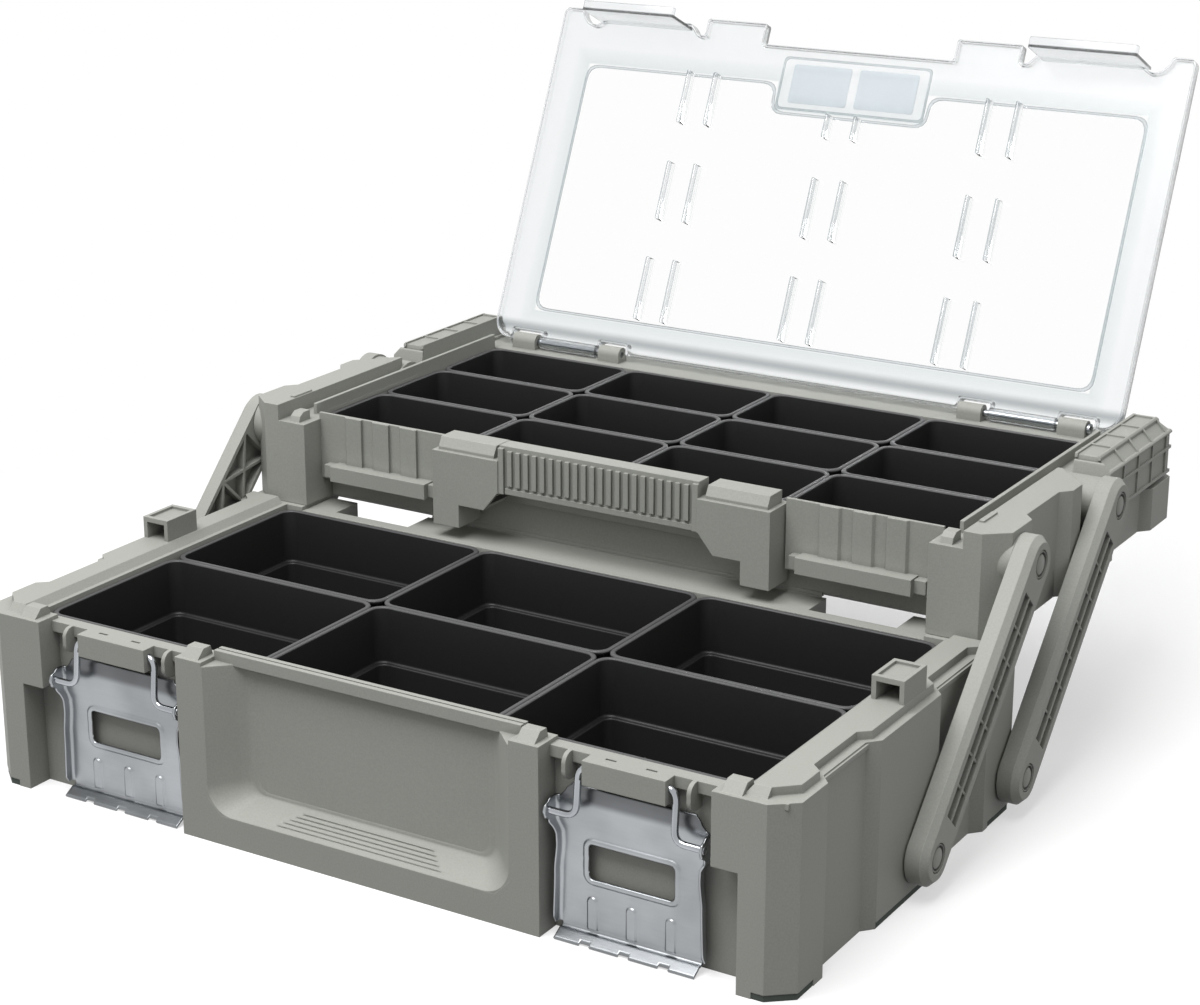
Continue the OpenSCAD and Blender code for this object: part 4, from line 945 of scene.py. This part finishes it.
# %% Plate grid
def plate_rows():
    """Forward place, height and the kind of each row: 0 lip, 1 face, 2 rolled top."""
    low_bend = bend(PLATE_Y - LOW_BEND, PLATE_LOW + LOW_BEND_UP, LOW_BEND, 240, 350, 7)
    lip_y = np.array([LIP_Y, 3.5, 5.5, LIP_ROOT])
    drop = (low_bend[0, 0] - lip_y) * np.tan(np.radians(LIP_SLOPE))
    lip = np.stack([lip_y, low_bend[0, 1] - drop], -1)
    face_z = np.arange(*FACE_RUN, ROW_STEP)
    face = np.stack([np.full(len(face_z), PLATE_Y), face_z], -1)
    angle = np.radians(np.linspace(9, 90, 9))
    top = np.stack([TOP_BACK - (TOP_BACK - PLATE_Y) * np.cos(angle),
                    TOP_START + (PLATE_HIGH - TOP_START) * np.sin(angle)], -1)
    kind = np.repeat([0, 1, 2], [len(lip) + len(low_bend), len(face), len(top)])
    return np.concatenate([lip, low_bend, face, top]), kind


def plate_columns():
    """Share of the half width across the face, with a column on every tooth's edges."""
    half = FOOT_HALF - SIDE_BEND
    teeth = -FOOT_HALF + np.arange(4)[:, None] * TOOTH_PITCH + np.array([0.0, TOOTH_WIDTH])
    teeth = teeth.ravel()
    even = np.linspace(-half, half, 150)
    far = np.min(np.abs(even[:, None] - teeth[None, :]), 1) > ROW_STEP / 2
    kept = np.concatenate([even[far], teeth[np.abs(teeth) < half], [-half, half]])
    return np.unique(kept) / half


def plate_face():
    """Grid of the plate's front skin, and which of its cells are left out."""
    rows, kind = plate_rows()
    row_y, row_z = rows[:, :1], rows[:, 1:]
    half = eased(row_z, HALF_AT)
    x = plate_columns() * (half - SIDE_BEND)
    z = row_z + 0 * x
    distance, gx, gz = from_opening(x, z)
    snap = (np.abs(distance) < SNAP) * distance
    x, z = x - snap * gx, z - snap * gz
    on_face = (kind == 1)[:, None]
    y = row_y - on_face * pressed(x, z) * falling(-z, -PRESS_FULL, -PRESS_NONE)
    turn, out = np.radians(np.linspace(15, 90, 6)), np.linspace(0.25, 1, 4)
    deep = np.maximum(eased(row_z, FLANGE_AT) - SIDE_BEND, 0.1)
    side_x = np.concatenate([half - SIDE_BEND + SIDE_BEND * np.sin(turn), half + 0 * out], 1)
    side_y = np.concatenate([row_y - SIDE_BEND * (1 - np.cos(turn)),
                             row_y - SIDE_BEND - deep * out], 1)
    right = np.stack([side_x, side_y, row_z + 0 * side_x], -1)
    left = right[:, ::-1] * [-1, 1, 1]
    grid = np.concatenate([left, np.stack([x, y, z], -1), right], 1)
    cell = (grid[:-1, :-1] + grid[1:, 1:] + grid[:-1, 1:] + grid[1:, :-1]) / 4
    column = np.arange(grid.shape[1] - 1)
    edge = side_x.shape[1]
    is_side = ((column < edge) | (column >= len(column) - edge))[None, :]
    upright = on_face[:-1] & on_face[1:] & (cell[..., 2] > PLATE_LOW + 3)
    in_opening = (from_opening(cell[..., 0], cell[..., 2])[0] < 0) & on_face[:-1]
    along_lip = (cell[..., 0] + FOOT_HALF) % TOOTH_PITCH
    gap = (cell[..., 1] < LIP_Y + TOOTH_DEEP) & (kind[:-1] == 0)[:, None]
    gap &= along_lip > TOOTH_WIDTH
    return grid, (is_side & ~upright) | in_opening | gap


def latch_plate(side, name):
    """One plate: the kept cells of the grid, given the sheet's thickness behind the front skin."""
    grid, left_out = plate_face()
    points = (grid.reshape(-1, 3) + np.array([side * latch_x, 0.0, 0.0])) * MM
    quads = grid_faces(*grid.shape[:2], False)[~left_out]
    used, numbers = np.unique(quads, return_inverse=True)
    quads = numbers.reshape(-1, 4)[:, ::-1]
    made = piece(f"latch_plate_{name}_sheet", [(points[used], quads.tolist())], plate_steel,
                 f"plate_{name}", sharp=60.0)
    thick = made.modifiers.new("thickness", "SOLIDIFY")
    thick.thickness = SHEET * MM
    thick.offset = -1
    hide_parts(f"latch_plate_{name}")
    return made.data.polygons


for side, name in ((-1, "left"), (1, "right")):
    sheet = latch_plate(side, name)
normal = sheet[len(sheet) // 2].normal
print("plate faces", len(sheet), "middle face's normal", [round(v, 2) for v in normal])

# %% [markdown]
# ## The clear lid
#
# The lid is drawn closed, as it leaves its mould, and then turned open about the hinge. Places on
# it are in millimetres across, forward of the hinge and up from the hinge. Its panel and skirt
# are one skin: the outline is a list of real corners, and each ring of the skin is that outline
# moved inwards, with its corners rounded, at a height of its own. Raised lines run round the
# window and the labels, ribs inside the lid keep small parts in their bins, sleeves turn on the
# hinge rods, and two aprons with a lip at the front take the latches' hooks.

# %% Lid outline and rings
PANEL_TOP = 7.9  # height of the outer face over the hinge
PANEL_THICK = 2.4
PANEL_CORNER = 2.5
INNER_FACE = PANEL_TOP - PANEL_THICK
FACE_GAP = 0.02  # between a face of the panel and the parts that stand on it
SKIRT_FOOT = -0.1
SKIRT_THICK = 1.8
LID_HALF = [[0, 246.5], [76.8, 246.5], [76.8, 262.1], [127.2, 262.1], [127.2, 249.0],
            [133, 249.0], [136.5, 253.5], [141, 257.5], [215, 257.5], [219, 252.5],
            [224, 250], [230, 251.5], [235, 256.5], [237, 262.1], [251, 262.1],
            [254, 259], [254, 12], [251, 5.5], [246, 1.5], [240, 0.2], [236, 0.2], [236, 7.6],
            [210.3, 7.6], [210.3, 0.2], [159, 0.2], [159, 7.6], [135.7, 7.6], [135.7, 0.2],
            [0, 0.2]]
WINDOW_LINE = [[0, 198.5], [61.5, 198.5], [61.5, 220.5], [227, 220.5], [227, 25.5], [0, 25.5]]
LABEL_LINE = [[0, 240.5], [60, 240.5], [60, 200.5], [0, 200.5]]
LINE_HEIGHT = 0.6


def both_halves(half):
    """The closed outline whose right half is given, from the middle of the front round to the
    middle of the back."""
    right = np.array(half, float)
    return np.concatenate([right, right[-2:0:-1] * [-1, 1]])


def moved_in(corners, inset):
    """The outline moved inwards: each corner moves along the sum of its two sides' normals over
    one plus their dot product, which keeps every side parallel to itself."""
    side = np.roll(corners, -1, 0) - corners
    area = np.sum(corners[:, 0] * side[:, 1] - corners[:, 1] * side[:, 0])
    normal = np.stack([-side[:, 1], side[:, 0]], -1) * np.sign(area)
    after = normal / np.linalg.norm(normal, axis=1, keepdims=True)
    before = np.roll(after, 1, 0)
    return corners + inset * (before + after) / (1 + np.sum(before * after, 1, keepdims=True))


def rounded_loop(corners, radius):
    """The closed outline with each corner replaced by the curve from a radius before it to a
    radius after it, or less on a side that is too short."""
    before = np.roll(corners, 1, 0) - corners
    after = np.roll(corners, -1, 0) - corners
    long_before = np.linalg.norm(before, axis=1, keepdims=True)
    long_after = np.linalg.norm(after, axis=1, keepdims=True)
    reach = np.minimum(radius, 0.45 * np.minimum(long_before, long_after))
    start = (corners + reach * before / long_before)[:, None]
    end = (corners + reach * after / long_after)[:, None]
    return curve(start, corners[:, None], end, 5).reshape(-1, 2)


def opened(points):
    """Points of the closed lid turned about the hinge by the lid's angle, in metres."""
    local = points * MM
    cosine, sine = np.cos(-LID_TURN), np.sin(-LID_TURN)
    y = local[..., 1] * cosine - local[..., 2] * sine
    z = local[..., 1] * sine + local[..., 2] * cosine
    return np.stack([local[..., 0], y, z], -1) + HINGE_PLACE


def rings(corners, profile, radius):
    """A ring of the opened lid for each inset and height of the profile."""
    flat = np.stack([rounded_loop(moved_in(corners, inset), radius) for inset, _ in profile])
    height = np.broadcast_to(np.array(profile)[:, 1:], flat.shape[:2])
    return opened(np.stack([flat[..., 0], -flat[..., 1], height], -1))


def panel_profile():
    """Inset and height from the outer face over its rounded edge, down the skirt and up inside."""
    edge = bend(1.1, PANEL_TOP - 1.1, 1.1, 90, 180)
    foot = np.array([[0.0, SKIRT_FOOT + 0.4], [0.4, SKIRT_FOOT], [SKIRT_THICK - 0.4, SKIRT_FOOT],
                     [SKIRT_THICK, SKIRT_FOOT + 0.4]])
    corner = bend(SKIRT_THICK + 0.5, INNER_FACE - 0.5, 0.5, 180, 90, 4)
    return np.concatenate([[[1.8, PANEL_TOP]], edge, foot, corner,
                           [[SKIRT_THICK + 1.1, INNER_FACE]]])


def raised_line(half, width, radius):
    """A low wall along an outline on the outer face, with rounded upper edges."""
    low, high = PANEL_TOP + FACE_GAP, PANEL_TOP + LINE_HEIGHT
    profile = [(0.0, low), (0.0, high - 0.3), (0.3, high), (width - 0.3, high),
               (width, high - 0.3), (width, low)]
    return closed_part(rings(both_halves(half), profile, radius), ring=True)


panel = closed_part(rings(both_halves(LID_HALF), panel_profile(), PANEL_CORNER))
lines = [raised_line(WINDOW_LINE, 2.0, 10.0), raised_line(LABEL_LINE, 1.6, 4.0)]
print("lid skin", len(panel[0]), "points, lines", sum(len(part[0]) for part in lines))

# %% Ribs, sleeves and aprons
BIN_PITCH = 121.5  # between the middles of the lid's rows of ribs, as between the small bins
RIB_OFF = 11.4  # from the line between two bins to the ribs on its two sides
RIB_THICK = 2.6
RIB_TALL = 8.6
RIB_RUNS = [(180.5, 221.0), (105.5, 150.5), (28.5, 76.5)]
RIB_SHORT = 198.5  # front end of the ribs that stop at the labels' field
SLEEVE_RUN = (160.0, 209.2)
SLEEVE_RADII = (2.75, 4.5)
SLEEVE_SIDES = 32
APRON_RUN = (142.0, 221.0)
APRON_BACK = 255.1  # forward of the hinge, to the wall's outer face
APRON_THICK = 2.2
APRON_LIP = 5.6
APRON_FOOT = -28.8
APRON_SHARES = np.array([0.955, 0.985, 1.0, 1.0, 0.985, 0.955])  # of the section, at each step


def lid_rib(x, low, high):
    """An upright rib on the inner face, with rounded ends and a rounded edge."""
    top, half = INNER_FACE - FACE_GAP, RIB_THICK / 2
    corners = np.array([[x - half, low], [x + half, low], [x + half, high], [x - half, high]])
    profile = [(0.0, top), (0.0, top - RIB_TALL + 0.8), (0.25, top - RIB_TALL + 0.2),
               (0.6, top - RIB_TALL)]
    return closed_part(rings(corners, profile, 1.2))


def sleeve(x0, x1):
    """A tube round the hinge's axis with a small bevel at its ends."""
    inner, outer = SLEEVE_RADII
    profile = [(x0, inner), (x0, outer - 0.4), (x0 + 0.4, outer), (x1 - 0.4, outer),
               (x1, outer - 0.4), (x1, inner)]
    return closed_part(opened(spun(profile, SLEEVE_SIDES)), ring=True)


def apron(x0, x1):
    """A wall hanging from the lid's front, with a lip outwards along its foot: its section is
    carried across the lid, and shortened over the last few millimetres at each end."""
    top = INNER_FACE - FACE_GAP
    front, lip = APRON_BACK, APRON_BACK + APRON_LIP
    section = np.array([[front, top], [front, APRON_FOOT + APRON_THICK],
                        [lip, APRON_FOOT + APRON_THICK], [lip, APRON_FOOT],
                        [front - APRON_THICK, APRON_FOOT], [front - APRON_THICK, top]])
    middle = np.array([front - APRON_THICK / 2, top])
    flat = middle + APRON_SHARES[:, None, None] * (rounded_loop(section, 0.8) - middle)
    x = np.array([x0, x0 + 0.5, x0 + 1.6, x1 - 1.6, x1 - 0.5, x1])
    across = np.broadcast_to(x[:, None], flat.shape[:2])
    return closed_part(opened(np.stack([across, -flat[..., 0], flat[..., 1]], -1)))


fittings = []
for x in (-BIN_PITCH, 0.0, BIN_PITCH):
    for off in (-RIB_OFF, RIB_OFF):
        for low, high in RIB_RUNS:
            fittings.append(lid_rib(x + off, low, high if x else min(high, RIB_SHORT)))
for side in (-1, 1):
    fittings.append(sleeve(*sorted(side * np.array(SLEEVE_RUN))))
    fittings.append(apron(*sorted(side * np.array(APRON_RUN))))
made = piece("clear_lid", [panel] + lines + fittings, clear_plastic, "lid",
             sharp=35.0)
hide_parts("lid_panel")
print("lid", len(made.data.vertices), "points,", len(fittings), "fittings")

# %% [markdown]
# ## Label cards
#
# Two blank cards with rounded corners lie behind the clear frame at the lid's front edge. They
# are drawn where the closed lid has them and then turned with it about the hinge.

# %% Label cards
CARD_SIZE = np.array([47.4, 29.4])
CARD_CORNER = 2.0
CARD_PLACES = (-27.0, 27.0)
CARD_BACK = 220.5  # from the hinge to the middle of a card, lid closed
CARD_UP = 7.95  # from the hinge's height to the card's lower face
CARD_THICK = 0.4


def card_slab(x):
    """A thin slab with rounded corners: two rounded rectangles, one above the other."""
    half = CARD_SIZE / 2
    ones = np.ones(2)
    rx, ry = rounded_ring(half[0] * ones, half[1] * ones, CARD_CORNER * ones)
    rz = np.array([CARD_UP, CARD_UP + CARD_THICK])[:, None] + 0 * rx
    return closed_part(opened(np.stack([rx + x, ry - CARD_BACK, rz], -1)))


made = piece("label_cards", [card_slab(x) for x in CARD_PLACES], label_card, "lid")
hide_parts("lid_labels")
print("cards", CARD_SIZE, "mm")
